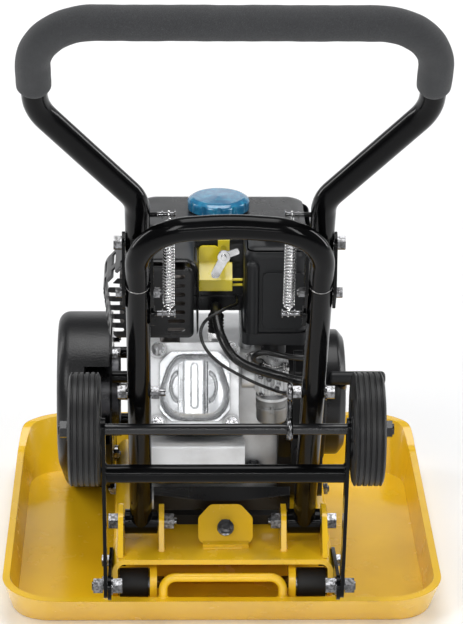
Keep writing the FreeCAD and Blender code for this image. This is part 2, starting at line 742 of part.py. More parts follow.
def build_muffler():
    left, right = num("guard_left"), num("guard_right")
    rear, front, low, top = (num(w) for w in ("guard_rear", "guard_front", "guard_low", "guard_top"))
    wall = num("guard_wall")
    can = rounded(box((left + 15, rear + 9, low + 5), (right - 9, front - 6, top - 11)), 14,
                  lambda m, w: True)
    exhaust = rod(11, Vector(-60, -126, 295), Vector(-60, -126, (low + top) / 2))
    head_room = barrel_box((-100, -100, 100), (100, 50.3, 200))
    node("muffler", fuse(can, cut(exhaust, head_room)))
    outer = slab("XZ", [(left + 4, low), (right, low), (right, top), (left + 24, top), (left - 4, top - 30)],
                 [10, 12, 16, 22, 20], rear, front)
    outer = rounded(outer, 12, lambda m, w: m.y < rear + 0.01 and abs(m.z - low) > 1)
    inner = slab("XZ", [(left + 4 + wall, low - 5), (right - wall, low - 5), (right - wall, top - wall),
                        (left + 25, top - wall), (left - 4 + wall, top - 31)], [0, 0, 14, 20, 18],
                 rear + wall, front + 5)
    slots = []
    for i in range(8):
        z = low + 13 + 10.4 * i
        upper = z + 4.6
        slots += [rounded(box((right - 34, rear - 5, z), (right - 15, rear + 5, upper)), 2.2, along(Y_AXIS)),
                  rounded(box((right - 5, rear + 18, z), (right + 5, rear + 62, upper)), 2.2, along(X_AXIS)),
                  rounded(box((left - 10, rear - 5, z), (left + 20, rear + 26, upper)), 2.2, along(Y_AXIS)),
                  rounded(box((left - 10, rear + 38, z), (left + 10, rear + 74, upper)), 2.2, along(X_AXIS))]
    node("muffler_guard", cut(outer, inner, *slots))


build_muffler()


def build_tank():
    half, rear, front, low, top = (num("tank_" + w) for w in ("half", "rear", "front", "low", "top"))
    wall = num("tank_wall")
    outer = rounded(box(("-tank_half", "tank_rear", "tank_low"), ("tank_half", "tank_front", "tank_top")), 30,
                    along(Z_AXIS))
    outer = rounded(outer, 20, lambda m, w: m.z > top - 0.01)
    inner = rounded(box((wall - half, rear + wall, low + wall), (half - wall, front - wall, top - wall)), 27,
                    along(Z_AXIS))
    seam = rounded(box((-half - 3, rear - 3, low + 14), (half + 3, front + 3, low + 18)), 32, along(Z_AXIS))
    neck_at = lambda z: vec("cap_x", "cap_y", z)
    neck = rod(25, neck_at(top - 6), neck_at(top + 7))
    mouth = rod(23, neck_at(top - 20), neck_at(top + 10))
    legs = [rod(7, Vector(x, y, 268), Vector(x, y, low + 1)) for x in (-55, 45) for y in (-20, 30)]
    tank = cut(fuse(outer, seam, neck), inner, mouth)
    node("fuel_tank", fuse(tank, *legs))

    cap = body("fuel_cap")
    profile = [(8, 0), (8, 25.5), (1, 25.5), (1, "cap_radius - 2"), (2, "cap_radius"), (12, "cap_radius"),
               (15.5, 30), (16.5, 0)]
    sketch = body_sketch(cap, "XZ_Plane", profile, [0, 0, 0, 1, 1.5, 4, 8, 0])
    revolved(cap, sketch)
    notch_sketch = body_ring(cap, "YZ_Plane", (0, num("cap_radius") + 3.2), 5)
    notch = pocketed(cap, notch_sketch, 20, reverse=True)
    ring_of(cap, notch, 12, sketch)
    cap.Placement = Placement(vec("cap_x", "cap_y", "tank_top"), Rotation(Y_AXIS, -90))
    node("fuel_cap", cap)


build_tank()


def build_air_cleaner():
    left, right, rear, front, low, top = (
        num("cleaner_" + w) for w in ("left", "right", "rear", "front", "low", "top"))
    lip = low + 14
    base = rounded(box((left - 2, rear - 2, low), (right + 2, front + 2, lip)), 10, along(Z_AXIS))
    duct = rod(14, Vector(56, -136, low + 4), Vector(56, -136, low - 22))
    hollow = box((left + 2, rear + 2, low + 3), (right - 2, front - 2, lip + 1))
    node("air_cleaner_base", cut(fuse(base, duct), hollow,
                                 rod(11, Vector(56, -136, low - 30), Vector(56, -136, lip))))
    lip += 0.4
    cover = rounded(box((left, rear, lip), (right, front, top)), 14, along(Z_AXIS))
    cover = rounded(cover, 12, lambda m, w: m.z > top - 0.01)
    rib = rounded(rod(7, Vector(left + 9, rear, lip), Vector(left + 9, rear, top - 14)), 5,
                  lambda m, w: m.z > top - 15)
    panel = rounded(box((left + 20, rear - 3, lip + 6), (right - 4, rear + 8, top - 26)), 6, along(Y_AXIS))
    inner = rounded(box((left + 3, rear + 3, lip - 1), (right - 3, front - 3, top - 3)), 11, along(Z_AXIS))
    stem = rod(3.4, Vector(57, -131, top - 10), Vector(57, -131, top + 5))
    node("air_cleaner_cover", cut(fuse(cover, rib, panel), inner, stem))
    knob = body("air_cleaner_knob")
    sketch = body_sketch(knob, "XZ_Plane", [(-8, 0), (-8, 3), (0.5, 3), (0.5, 13), (10, 11), (10, 0)],
                         [0, 0, 0, 2, 2, 0])
    revolved(knob, sketch)
    notch = pocketed(knob, body_ring(knob, "YZ_Plane", (0, 14.5), 4), 20, reverse=True)
    ring_of(knob, notch, 8, sketch)
    knob.Placement = Placement(Vector(57, -131, top), Rotation(Y_AXIS, -90))
    node("air_cleaner_knob", knob)


build_air_cleaner()


def build_carburettor():
    low = num("cleaner_low")
    body_block = rounded(box((34, -158, 256), (76, -116, 292)), 7, along(Z_AXIS))
    throat = tube([Vector(56, -136, 288), Vector(56, -136, low - 22.2)], [], 13, 9)
    flange = box((38, -150, 286), (74, -122, 292))
    intake = tube([Vector(40, -137, 276), Vector(19, -137, 276)], [], 13, 9)
    head_room = barrel_box((-100, -100, 100), (49.2, 100, 230))
    screws = [rod(3, Vector(x, -159, z), Vector(x, -164, z)) for x, z in ((42, 284), (70, 262))]
    bowl = rounded(rod(18, Vector(55, -139, 222), Vector(55, -139, 252)), 4, lambda m, w: m.z < 223)
    drain = hexagon(10, Vector(55, -139, 216), Vector(55, -139, 222.5))
    neck = rod(12, Vector(55, -139, 251), Vector(55, -139, 257))
    node("carburettor", cut(fuse(body_block, throat, flange, cut(intake, head_room), *screws, neck),
                            rod(2.1, Vector(70, -137, 276), Vector(90, -137, 276))),
         cut(fuse(bowl, drain), rod(12.1, Vector(55, -139, 250), Vector(55, -139, 260))))
    lever = fuse(slab("YZ", [(-141, 271), (-132, 271), (-130, 306), (-137, 306)], 3, 79, 81.5),
                 rod(2.0, Vector(71, -137, 276), Vector(81.5, -137, 276)),
                 rod(5, Vector(81, -133.5, 301), Vector(89, -133.5, 301)))
    node("choke_lever", lever)


build_carburettor()


def build_controls():
    """The folded bracket beside the air cleaner, its lever, and the governor's post and arm."""
    face = box((-27, -120, 372), (10, -117, 385))
    shelf = slab("YZ", [(-120, 385), (-117, 385), (-98, 395), (-98, 398)], 0, -27, 10)
    post = box((-6, -98, 388), (7, -95, 424))
    ear = rounded(box((-27.5, -98, 396), (-5, -95, 417)), 5, along(Y_AXIS))
    foot = box((-24, -97, 389), (-6, -85.2, 393))
    rods = [rod(1.6, Vector(9.5, -113, z), Vector(21.4, -113, z)) for z in (377, 383)]
    hub = Vector(0, -126, 415)
    spindle = rod(3.05, hub, hub + Y_AXIS * 35)
    node("control_bracket", cut(fuse(face, shelf, post, ear, foot, *rods), spindle))
    long_arm = [(-4, 417), (-14, 396), (-13, 390), (-6, 390), (5, 411)]
    short_arm = [(-2, 411), (18, 419), (16, 425), (-2, 419)]
    lever = fuse(rod(3.0, hub - Y_AXIS * 5, hub + Y_AXIS * 32), rod(7, hub - Y_AXIS * 2, hub + Y_AXIS * 2),
                 slab("XZ", long_arm, [3, 3, 2.5, 3, 3], -127, -124.5),
                 slab("XZ", short_arm, [2, 2.5, 2.5, 2], -127, -124.5))
    node("throttle_lever", lever)
    post = cut(rod(7, Vector(27, -30, 268), Vector(27, -30, 320)),
               rod(3.05, Vector(27, -30, 250), Vector(27, -30, 330)))
    arm = fuse(rod(3.0, Vector(27, -30, 269), Vector(27, -30, 326)),
               slab("XY", [(21, -24), (33, -24), (30, -104), (24, -104)], 3, 320.5, 323.5))
    node("governor_arm", arm)
    return post


node("crankcase", build_crankcase(), build_controls())


# --- fan housing, recoil starter and switch ------------------------------------------------
def build_fan_side():
    y, z = CRANK.y, CRANK.z
    start = num("crankcase_right") + 0.5
    end = 118
    at = lambda x: Vector(x, y, z)
    drum = fuse(rod("fan_radius", at(start), at(end)), rounded(
        box((start, y - 84, "deck_top + 6"), (end, y + 84, z)), 14, along(X_AXIS)))
    room = rod("fan_radius - 3", at(start + 3), at(end - 3))
    mouth = rod("recoil_radius - 6", at(end - 5), at(end + 5))
    shaft_hole = rod(30, at(start - 5), at(start + 5))
    duct = slab("YZ", [(y - 86, z + 20), (y - 30, z + 96), (y - 62, z + 112), (y - 104, z + 64)],
                [4, 8, 12, 12], start, 100)
    duct_room = slab("YZ", [(y - 80, z + 22), (y - 34, z + 86), (y - 62, z + 106), (y - 99, z + 62)],
                     [2, 6, 10, 10], start - 5, 97)
    housing = cut(fuse(drum, duct), room, duct_room, mouth, shaft_hole)

    r = num("recoil_radius")
    right = num("recoil_right")
    dome = [(end, r - 6), (end, r + 6), (end + 3, r + 6), (end + 3, r), (right - 8, r), (right, r - 10),
            (right, 0), (right - 2.5, 0), (right - 2.5, r - 12), (right - 9, r - 3), (end + 1, r - 3),
            (end + 1, r - 6)]
    cover = turned(dome, CRANK, [0, 1, 1, 1, 5, 8, 0, 0, 6, 4, 0, 0])
    slots = []
    for i in range(12):
        a = math.pi * i / 6
        out = Vector(0, math.cos(a), math.sin(a))
        slot = fuse(rod(3, at(right - 20) + out * 34, at(right + 5) + out * 34),
                    rod(3, at(right - 20) + out * 52, at(right + 5) + out * 52))
        bar = box((right - 20, -3, 34), (right + 5, 3, 52))
        bar.Placement = Placement(at(0), Rotation(X_AXIS, math.degrees(a) - 90)).multiply(bar.Placement)
        slots += [slot, bar]
    rope_way = Vector(0, -0.7, 0.714143)
    rope_x = right - 6
    exit_point = Vector(rope_x, y - 60, z + 36)
    guide = rod(7, exit_point - rope_way * 18, exit_point + rope_way * 6)
    passage = rod(2.2, exit_point - rope_way * 150, exit_point + rope_way * 20)
    node("recoil_cover", cut(fuse(cover, guide), passage, *slots))

    grip_centre = exit_point + rope_way * 16
    half = Vector(33, 0, 0)
    offset = Vector(17, 0, 0)
    bar = rounded(rod(8, grip_centre + offset - half, grip_centre + offset + half), 5, lambda m, w: True)
    neck = rod(5.5, grip_centre - rope_way * 9.5, grip_centre)
    rope = rod(1.5, exit_point - rope_way * 100, grip_centre)
    node("starter_handle", fuse(bar, neck, rope))

    box_low, box_high = (80, y - 110, 150), (108, y - 96.5, 182)
    casing = rounded(box(box_low, box_high), 3, along(Y_AXIS))
    bridge = box((84, y - 97, 154), (104, y - 80, 178))
    bridge = cut(bridge, rod("fan_radius + 0.2", at(60), at(130)), box((60, y - 84.2, 90), (130, y + 84, z)))
    spindle = rod(3.05, Vector(94, y - 120, 166), Vector(94, y - 98, 166))
    node("fan_housing", housing, cut(fuse(casing, bridge), spindle))
    knob = fuse(rod(10.5, Vector(94, y - 114, 166), Vector(94, y - 110.4, 166)),
                rounded(box((91.5, y - 121, 157), (96.5, y - 113, 175)), 1.5, along(Y_AXIS)),
                rod(3.0, Vector(94, y - 114, 166), Vector(94, y - 99, 166)))
    node("switch_knob", knob)

    plug_at = Vector(38, y - 72, 128)
    cap = body("oil_dipstick")
    sketch = body_sketch(cap, "XZ_Plane", [(0.4, 0), (0.4, 9), (3, 9), (3, 12), (9, 12), (14, 8), (14, 0)],
                         [0, 0, 0, 1, 2, 3, 0])
    revolved(cap, sketch)
    notch = pocketed(cap, body_ring(cap, "YZ_Plane", (0, 13.5), 4), 30, reverse=True)
    ring_of(cap, notch, 8, sketch)
    cap.Placement = Placement(plug_at, Rotation(Z_AXIS, -90))
    node("oil_dipstick", cap)


build_fan_side()


# --- crankshaft, flywheel, clutch, belt -------------------------------------------------------
COVER_LUGS = [(-38, 262), (84, 232), (161, 74), (30, 104)]


def build_drive():
    y, z = CRANK.y, CRANK.z
    at = lambda x: Vector(x, y, z)
    up = Vector(0, 0, 1)
    left, right = num("crankcase_left"), num("crankcase_right")
    end = num("belt_x") - 18
    throw = 27
    pin = rod(14, at(-44) + up * throw, at(-20) + up * throw)
    webs = [fuse(rod(34, at(x), at(x + 12)), rod(20, at(x) + up * throw, at(x + 12) + up * throw),
                 rod(44, at(x) - up * 6, at(x + 12) - up * 6)) for x in (-55, -21)]
    webs = [common(web, rod(52, at(-60), at(0))) for web in webs]
    shaft = fuse(rod("journal_radius", at(left - 22), at(-44)), rod("journal_radius", at(-20), at(right + 2)),
                 rod("stub_radius", at(end), at(left - 20)), rod("stub_radius", at(right), at(112)),
                 pin, *webs)
    node("crankshaft", shaft)

    wheel = body("flywheel")
    r = num("flywheel_radius")
    profile = [(71, 10), (71, r), (90, r), (90, 30), (106, 26), (106, 10)]
    sketch = body_sketch(wheel, "XZ_Plane", profile, [0, 2, 3, 4, 2, 0])
    revolved(wheel, sketch)
    fin_outline = [(88, 46), (88, r - 2), (108, r - 6), (108, 52)]
    fin_sketch = body_sketch(wheel, "XZ_Plane", fin_outline, [0, 0, 4, 4])
    fin = padded(wheel, fin_sketch, 3)
    ring_of(wheel, fin, 14, sketch)
    wheel.Placement.Base = CRANK
    node("flywheel", wheel)

    drum_r = num("drum_radius")
    bx = num("belt_x")
    g = num("drum_groove")
    hub = fuse(rod(24, at(-142), at(-122)), *[
        common(rod(drum_r - 5.5, at(-142), at(-124)),
               shifted(box((-150, -17, 22), (-118, 17, 60)), Placement(CRANK, Rotation(X_AXIS, 120 * i))))
        for i in range(3)])
    node("clutch_hub", cut(hub, rod("stub_radius", at(-150), at(-110))))
    gap = num("stub_radius") + num("running_gap")
    drum = body("clutch_drum")
    profile = [(-118, drum_r - 4), (-118, drum_r), (bx + 11, drum_r), (bx + 11, g + 7), (bx + 7, g + 7),
               (bx + 4, g - 1), (bx - 4, g - 1), (bx - 7, g + 7), (bx - 11, g + 7), (bx - 11, gap),
               (-145, gap), (-145, drum_r - 4)]
    revolved(drum, body_sketch(drum, "XZ_Plane", profile, [0, 1.5, 3, 0, 0, 0, 0, 0, 1, 0, 0, 3]))
    drum.Placement.Base = CRANK
    node("clutch_drum", drum)

    # the belt: two arcs joined by their common tangents, with a flat V section
    run = EXCITER - CRANK
    lay = math.atan2(run.z, run.y)

    def loop(first, second, low, high):
        """The hull of two circles on the two shafts, as a slab across X."""
        half = math.acos((first - second) / run.Length)
        edges = []
        for centre, radius, start in ((CRANK, first, lay + half), (EXCITER, second, lay - half)):
            spread = 2 * math.pi - 2 * half if centre is CRANK else 2 * half
            points = [Vector(centre.y + radius * math.cos(start + spread * k / 2),
                             centre.z + radius * math.sin(start + spread * k / 2), 0) for k in range(3)]
            edges.append(Part.Arc(*points))
        last, following = edges[0].EndPoint, edges[1].StartPoint
        edges.append(Part.LineSegment(last, following))
        edges.append(Part.LineSegment(edges[1].EndPoint, edges[0].StartPoint))
        sketch = add("Sketcher::SketchObject")
        sketch.addGeometry(edges, False)
        sketch.Placement = Placement(Vector(low, 0, 0), PLANES["YZ"])
        item = add("Part::Extrusion")
        item.Base = sketch
        item.DirMode = "Normal"
        item.LengthFwd = high - low
        item.Solid = True
        return item

    outer = loop(g + 6.5, num("pulley_groove") + 6.5, bx - 3.4, bx + 3.4)
    inner = loop(g + 0.2, num("pulley_groove") + 0.2, bx - 4, bx + 4)
    node("drive_belt", cut(outer, inner))

    # moulded belt cover: open towards the engine, with a window that shows the drum
    left, right, wall = num("belt_cover_left"), num("belt_cover_right"), num("cover_wall")
    skin = rounded(loop(num("cover_big"), num("cover_small"), left, right), 14,
                   lambda m, w: m.x < left + 0.01)
    hollow = rounded(loop(num("cover_big") - wall, num("cover_small") - wall, left + wall, right + 5), 11,
                     lambda m, w: m.x < left + wall + 0.01)
    window = box((bx + 3, y - 120, z - 130), (right + 5, y - 32, z + 62))
    lugs = [rod(8, Vector(right - 8, ly, lz), Vector(right, ly, lz)) for ly, lz in COVER_LUGS]
    lug_holes = [rod(3.2, Vector(right - 10, ly, lz), Vector(right + 5, ly, lz)) for ly, lz in COVER_LUGS]
    shell_part = cut(skin, hollow, window)
    node("belt_cover", cut(fuse(shell_part, *lugs), *lug_holes))

    drum_hole = rod(58, at(right - 5), at(right + 8))
    shaft_hole = rod(22, Vector(right - 5, EXCITER.y, EXCITER.z), Vector(right + 8, EXCITER.y, EXCITER.z))
    back = cut(loop(num("cover_big"), num("cover_small"), right + 0.4, right + 2.9), drum_hole, shaft_hole)
    standoffs = [rod(7, Vector(right + 2, sy, sz), Vector(num("crankcase_left") - 0.2, sy, sz))
                 for sy, sz in ((-54, 240), (80, 215), (75, 130))]
    mesh = common(
        pipe("cover_big - 5", "cover_big - 7", Vector(bx + 6, y, z), Vector(right + 0.4, y, z)),
        box((bx + 6, y - 100, z - 100), (right + 1, y - 10, z - 30)))
    screw_holes = [rod(3.2, Vector(right - 10, ly, lz), Vector(right + 5, ly, lz)) for ly, lz in COVER_LUGS]
    node("belt_guard", cut(fuse(back, *standoffs, mesh), *screw_holes))
    for ly, lz in COVER_LUGS:
        engine_bolts.extend(bolt(3, Vector(right - 8, ly, lz), X_AXIS, 10.9, 10, stud=8))
    node("engine_bolts", *engine_bolts)


build_drive()


# --- handle -----------------------------------------------------------------------------------
def build_handle():
    x, length = num("leg_x"), num("leg_length")
    fold, offset, pin = num("fold_along"), num("fold_offset"), num("pin_along")
    wall = num("hinge_wall")
    legs, rubbers, bolts, plates = [], [], [], []
    for side in SIDES:
        tube_leg = cut(rod("tube_radius", leg(side * x, 0, 0), leg(side * x, 0, length)),
                       rod("tube_bore", leg(side * x, 0, 16), leg(side * x, 0, length + 5)))
        cross = [leg(side * 73.5, 0, 0), leg(side * 110.5, 0, 0)]
        spring_low = num("spring_low")
        tab_outline = [(-8, spring_low - 14), (6, spring_low - 14), (6, spring_low + 8), (-8, spring_low + 8)]
        tab = slab("YZ", tab_outline, 5, min(side * 75, side * 79), max(side * 75, side * 79))
        tab = shifted(fuse(tab, box((min(side * 76, side * 81), -4, spring_low - 8),
                                    (max(side * 76, side * 81), 4, spring_low + 4))), LEG)
        stud = shifted(rod(2.5, Vector(side * 54, 0, spring_low), Vector(side * 79, 0, spring_low)), LEG)
        frame = fuse(tube_leg, rod(14, *cross), tab, stud)
        bores = [rod(11, leg(side * 70, 0, 0), leg(side * 115, 0, 0)),
                 rod(4.15, leg(side * 70, 0, pin), leg(side * 115, 0, pin)),
                 rod(3.15, leg(side * 70, 0, length - 14), leg(side * 115, 0, length - 14))]
        legs.append(cut(frame, *bores))
        rubbers.append(pipe(10.9, 5.2, leg(side * 73, 0, 0), leg(side * 111, 0, 0)))
        way = Vector(-side, 0, 0)
        bolts += bolt(5, leg(side * 118, 0, 0), way, 52, 17, stud=14)
        bolts += bolt(4, leg(side * (x + 12.9), 0, pin), way, 25.8, 13, stud=15, washer=1.6)
        reach = x + 12.8 + wall
        bolts += bolt(3, leg(side * reach, 0, length - 14), way, 2 * (12.8 + wall), 10, stud=8)
        bolts += bolt(4, leg(side * reach, offset, fold), way, 2 * (12.8 + wall), 13, stud=8.6)
        for near in (x - 12.8 - wall, x + 12.8):
            plate_outline = [(-6, length - 36), (8, length - 36), (offset + 11, fold - 4),
                             (offset + 9, fold + 12), (offset - 9, fold + 12), (-9, length - 4)]
            plate = slab("YZ", plate_outline, [6, 6, 11, 10, 10, 10],
                         min(side * near, side * (near + wall)), max(side * near, side * (near + wall)))
            holes = [rod(3.15, Vector(side * 60, 0, length - 14), Vector(side * 120, 0, length - 14)),
                     rod(4.1, Vector(side * 60, offset, fold), Vector(side * 120, offset, fold))]
            plates.append(shifted(cut(plate, *holes), LEG))
    node("handle_legs", *legs)
    node("hinge_plates", *plates)
    node("handle_bolts", *bolts)

    top = num("hoop_top")
    points = [leg(-x, 0, length + 0.3), leg(-x, 0, top - 8), leg(0, 0, top + 2), leg(x, 0, top - 8),
              leg(x, 0, length + 0.3)]
    hoop = tube(points, [58, 220, 58], "tube_radius", "tube_bore")
    spigots = [rod("tube_bore - 0.1", leg(side * x, 0, length - 34), leg(side * x, 0, length + 12))
               for side in SIDES]
    holes = [rod(3.15, leg(side * 70, 0, length - 14), leg(side * 115, 0, length - 14)) for side in SIDES]
    node("rear_hoop", cut(fuse(hoop, *spigots), *holes))
    for side in SIDES:
        pad = box((side * 91 - 8, 11, fold + 10), (side * 91 + 8, offset - 12.8, fold + 22))
        rubbers.append(cut(shifted(pad, LEG), hoop))
    node("handle_rubbers", *rubbers)

    grip, start, corner = num("grip_half"), num("grip_start"), num("grip_corner")
    low, high, bar = num("flare_low"), num("flare_high"), num("grip_top")
    run = [(-x, -9), (-x, low), (-grip, high), (-grip, bar), (grip, bar), (grip, high), (x, low), (x, -9)]
    points = [leg(px, offset, fold + up) for px, up in run]
    frame = tube(points, [45, 60, corner, corner, 60, 45], "tube_radius", "tube_bore")
    studs, holes = [], []
    stud_up = num("spring_high")
    for side in SIDES:
        studs.append(cut(rod(2.5, leg(side * 54, offset, stud_up), leg(side * x, offset, stud_up)),
                         rod(9, leg(side * (x - 5), offset, stud_up), leg(side * (x + 5), offset, stud_up))))
        holes.append(rod(4.06, leg(side * 70, offset, fold), leg(side * 115, offset, fold)))
    node("upper_handle", cut(fuse(frame, *studs), *holes))
    foam_run = [(-grip, start), (-grip, bar), (grip, bar), (grip, start)]
    points = [leg(px, offset, fold + up) for px, up in foam_run]
    node("foam_grip", tube(points, [corner, corner], "foam_radius", "tube_radius + 0.05"))

    springs = []
    sx = num("spring_x")
    for side in SIDES:
        first = leg(side * sx, 0, num("spring_low"))
        last = leg(side * sx, offset, stud_up)
        way = (last - first).normalize()
        springs.append(pipe("spring_radius", 4.2, first + way * 7, last - way * 9))
    node("handle_springs", *springs)


build_handle()


# --- transport wheels -------------------------------------------------------------------------
def build_wheels():
    pivot = vec(0, "swing_y", "swing_z")
    axle = vec(0, "axle_y", "axle_z")
    brace = vec(0, "brace_y", "brace_z")
    inner, wall, width = num("arm_inner"), num("arm_wall"), num("arm_width")
    way = (axle - pivot).normalize()
    across = Vector(0, way.z, -way.y)
    corners = [pivot - way * 14 - across * width / 2, pivot - way * 14 + across * width / 2,
               axle + way * 12 + across * width / 2, axle + way * 12 - across * width / 2]
    arms = []
    for side in SIDES:
        lo, hi = sorted((side * inner, side * (inner + wall)))
        arm = slab("YZ", [(c.y, c.z) for c in corners], width / 2 - 0.5, lo, hi)
        pivot_bore = rod(5.06, Vector(side * 120, pivot.y, pivot.z), Vector(side * 140, pivot.y, pivot.z))
        axle_bore = rod("axle_radius + 0.1", Vector(side * 120, axle.y, axle.z),
                        Vector(side * 140, axle.y, axle.z))
        arms.append(cut(arm, pivot_bore, axle_bore))
    tie = pipe("brace_radius", "brace_radius - 2", Vector(-inner - 0.5, brace.y, brace.z),
               Vector(inner + 0.5, brace.y, brace.z))
    node("wheel_frame", fuse(*arms, tie))

    at = lambda x: Vector(x, axle.y, axle.z)
    outer = num("wheel_inner") + num("wheel_width")
    solids = [rod("axle_radius", at(-outer - 12), at(outer + 12))]
    for side in SIDES:
        for near, far, size in ((inner + wall, num("wheel_inner") - 0.2, 12), (outer + 0.3, outer + 2.3, 12)):
            solids.append(pipe(size, "axle_radius + 0.1", at(side * near), at(side * far)))
        solids.append(cut(hexagon(17, at(side * (outer + 2.3)), at(side * (outer + 10))),
                          rod("axle_radius + 0.1", at(side * outer), at(side * (outer + 12)))))
    node("wheel_axle", *solids)

    for side, label in ((-1, "wheel_left"), (1, "wheel_right")):
        start, size = num("wheel_inner"), num("wheel_width")
        r, hub = num("wheel_radius"), num("hub_radius")
        grooves = []
        for i in range(5):
            g = 4.4 + 6 * i
            grooves += [(g - 1.1, r), (g - 0.7, r - 1.8), (g + 0.7, r - 1.8), (g + 1.1, r)]
        tread = [(0, hub), (0, r - 4), (2, r)] + grooves + [(size - 2, r), (size, r - 4), (size, hub)]
        tyre = turned([(start + px, pr) for px, pr in tread], axle)
        bore = num("axle_radius") + num("running_gap")
        section = [(0, bore), (0, 13), (10, 15), (10, hub - 4), (2, hub - 2), (2, hub - 0.02),
                   (size - 2, hub - 0.02), (size - 2, hub - 2), (size - 10, hub - 4), (size - 10, 15),
                   (size, 13), (size, bore)]
        rim = turned([(start + px, pr) for px, pr in section], axle)
        wheel = [tyre, rim]
        if side < 0:
            wheel = [shifted(item, Placement(axle * 2, Rotation(Z_AXIS, 180)).multiply(
                Placement(Vector(0, 0, -2 * axle.z), Rotation()))) for item in wheel]
        node(label, *wheel)

    lx = num("latch_x")
    seat = leg(lx, 0, num("pin_along"))
    hook_base = Vector(lx, axle.y, axle.z)
    link = seat - hook_base
    way = Vector(0, link.y, link.z).normalize()
    eye = add("Part::Torus")
    eye.Radius1 = 9.4
    eye.Radius2 = 3.1
    eye.Placement = Placement(hook_base, Rotation(Z_AXIS, X_AXIS))
    mouth = add("Part::Torus")
    mouth.Radius1 = 7.5
    mouth.Radius2 = 3.1
    mouth.Angle3 = 180
    turn = Rotation(way, X_AXIS.cross(way), X_AXIS, "ZXY")
    mouth.Placement = Placement(seat, turn)
    stem = rod(3.1, hook_base + way * 9.4, seat - way * 7.5)
    node("latch_hook", fuse(eye, mouth, stem))


build_wheels()


# --- leads and hoses ----------------------------------------------------------------------
def hose(points, outer):
    """A hose held at both ends: straight runs joined by the widest arcs that fit."""
    radii = []
    for before, corner, after in zip(points, points[1:], points[2:]):
        shorter = min((before - corner).Length, (after - corner).Length)
        turn = (corner - before).getAngle(after - corner)
        radii.append(0.45 * shorter / math.tan(turn / 2))
    return tube(points, radii, outer)


def build_hoses():
    cap_top = plug_foot + plug_way * 31
    lead = hose([cap_top, cap_top + plug_way * 9, Vector(-10, -146, 360), Vector(-5, -180, 344),
                 Vector(8, -195, 323), Vector(30, -192, 309), Vector(62, -184, 296), Vector(90, -184, 288),
                 Vector(108, -150, 284), Vector(104, -120, 270), Vector(96, -97, 262)], 5.2)
    lead = cut(lead, rod(9.1, plug_foot + plug_way * 15, cap_top + plug_way * 2.2))
    stop_wire = hose([Vector(14, -118, 366), Vector(16, -150, 368), Vector(1, -180, 375),
                      Vector(-23, -191, 365), Vector(-28, -198, 351), Vector(-20, -204, 334),
                      Vector(-4, -209, 320),
                      Vector(33, -208, 298), Vector(66, -198, 281), Vector(86, -172, 268),
                      Vector(87, -150, 262), Vector(76.3, -150, 262)], 1.8)
    fuel_hose = hose([Vector(90, -68, 334.7), Vector(90, -68, 322), Vector(104, -112, 306),
                      Vector(99, -160, 306), Vector(67, -180, 318), Vector(42, -181, 325),
                      Vector(28, -178, 316), Vector(38, -168, 306), Vector(44, -154.4, 304),
                      Vector(44, -154.4, 292.4)], 3.2)
    node("engine_hoses", plug_cap, cut(plug_elbow, plug_cap), lead, stop_wire, fuel_hose)


build_hoses()


# --- check and write ----------------------------------------------------------------------
def write_parts():
    doc.recompute()
    for item in doc.Objects:
        if "Invalid" in item.State or "Error" in item.State:
            raise RuntimeError(f"{item.Name} ({item.Label}) failed: {item.State}")
    for label, item in nodes.items():
        if item.Shape.isNull() or not item.Shape.isValid() or not item.Shape.Solids:
            raise RuntimeError(f"{label} has no valid solid")
    os.makedirs("parts", exist_ok=True)
    for label, item in nodes.items():
        item.Shape.exportStep(os.path.join("parts", label + ".step"))


write_parts()
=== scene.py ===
import json
import math

import bmesh
import bpy
from mathutils import Matrix, Vector


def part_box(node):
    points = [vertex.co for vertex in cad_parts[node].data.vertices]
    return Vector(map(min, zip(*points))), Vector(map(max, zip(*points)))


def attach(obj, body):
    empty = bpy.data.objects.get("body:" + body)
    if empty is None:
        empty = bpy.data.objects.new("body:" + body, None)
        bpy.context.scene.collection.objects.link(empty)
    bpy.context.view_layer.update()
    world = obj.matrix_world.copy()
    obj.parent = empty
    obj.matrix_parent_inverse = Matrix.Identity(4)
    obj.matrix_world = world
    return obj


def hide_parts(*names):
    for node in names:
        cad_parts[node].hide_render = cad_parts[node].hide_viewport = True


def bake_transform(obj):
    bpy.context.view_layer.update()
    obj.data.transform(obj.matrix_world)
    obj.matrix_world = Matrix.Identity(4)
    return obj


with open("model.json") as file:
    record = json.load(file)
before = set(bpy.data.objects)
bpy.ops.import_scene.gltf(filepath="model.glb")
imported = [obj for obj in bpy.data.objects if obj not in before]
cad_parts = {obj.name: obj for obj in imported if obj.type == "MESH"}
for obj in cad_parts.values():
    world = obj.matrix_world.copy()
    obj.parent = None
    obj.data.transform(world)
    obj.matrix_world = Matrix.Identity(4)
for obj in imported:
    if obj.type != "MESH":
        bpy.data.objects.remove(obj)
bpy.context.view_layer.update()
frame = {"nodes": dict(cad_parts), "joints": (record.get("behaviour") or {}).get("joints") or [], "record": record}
nodes = frame["nodes"]
record = frame["record"]


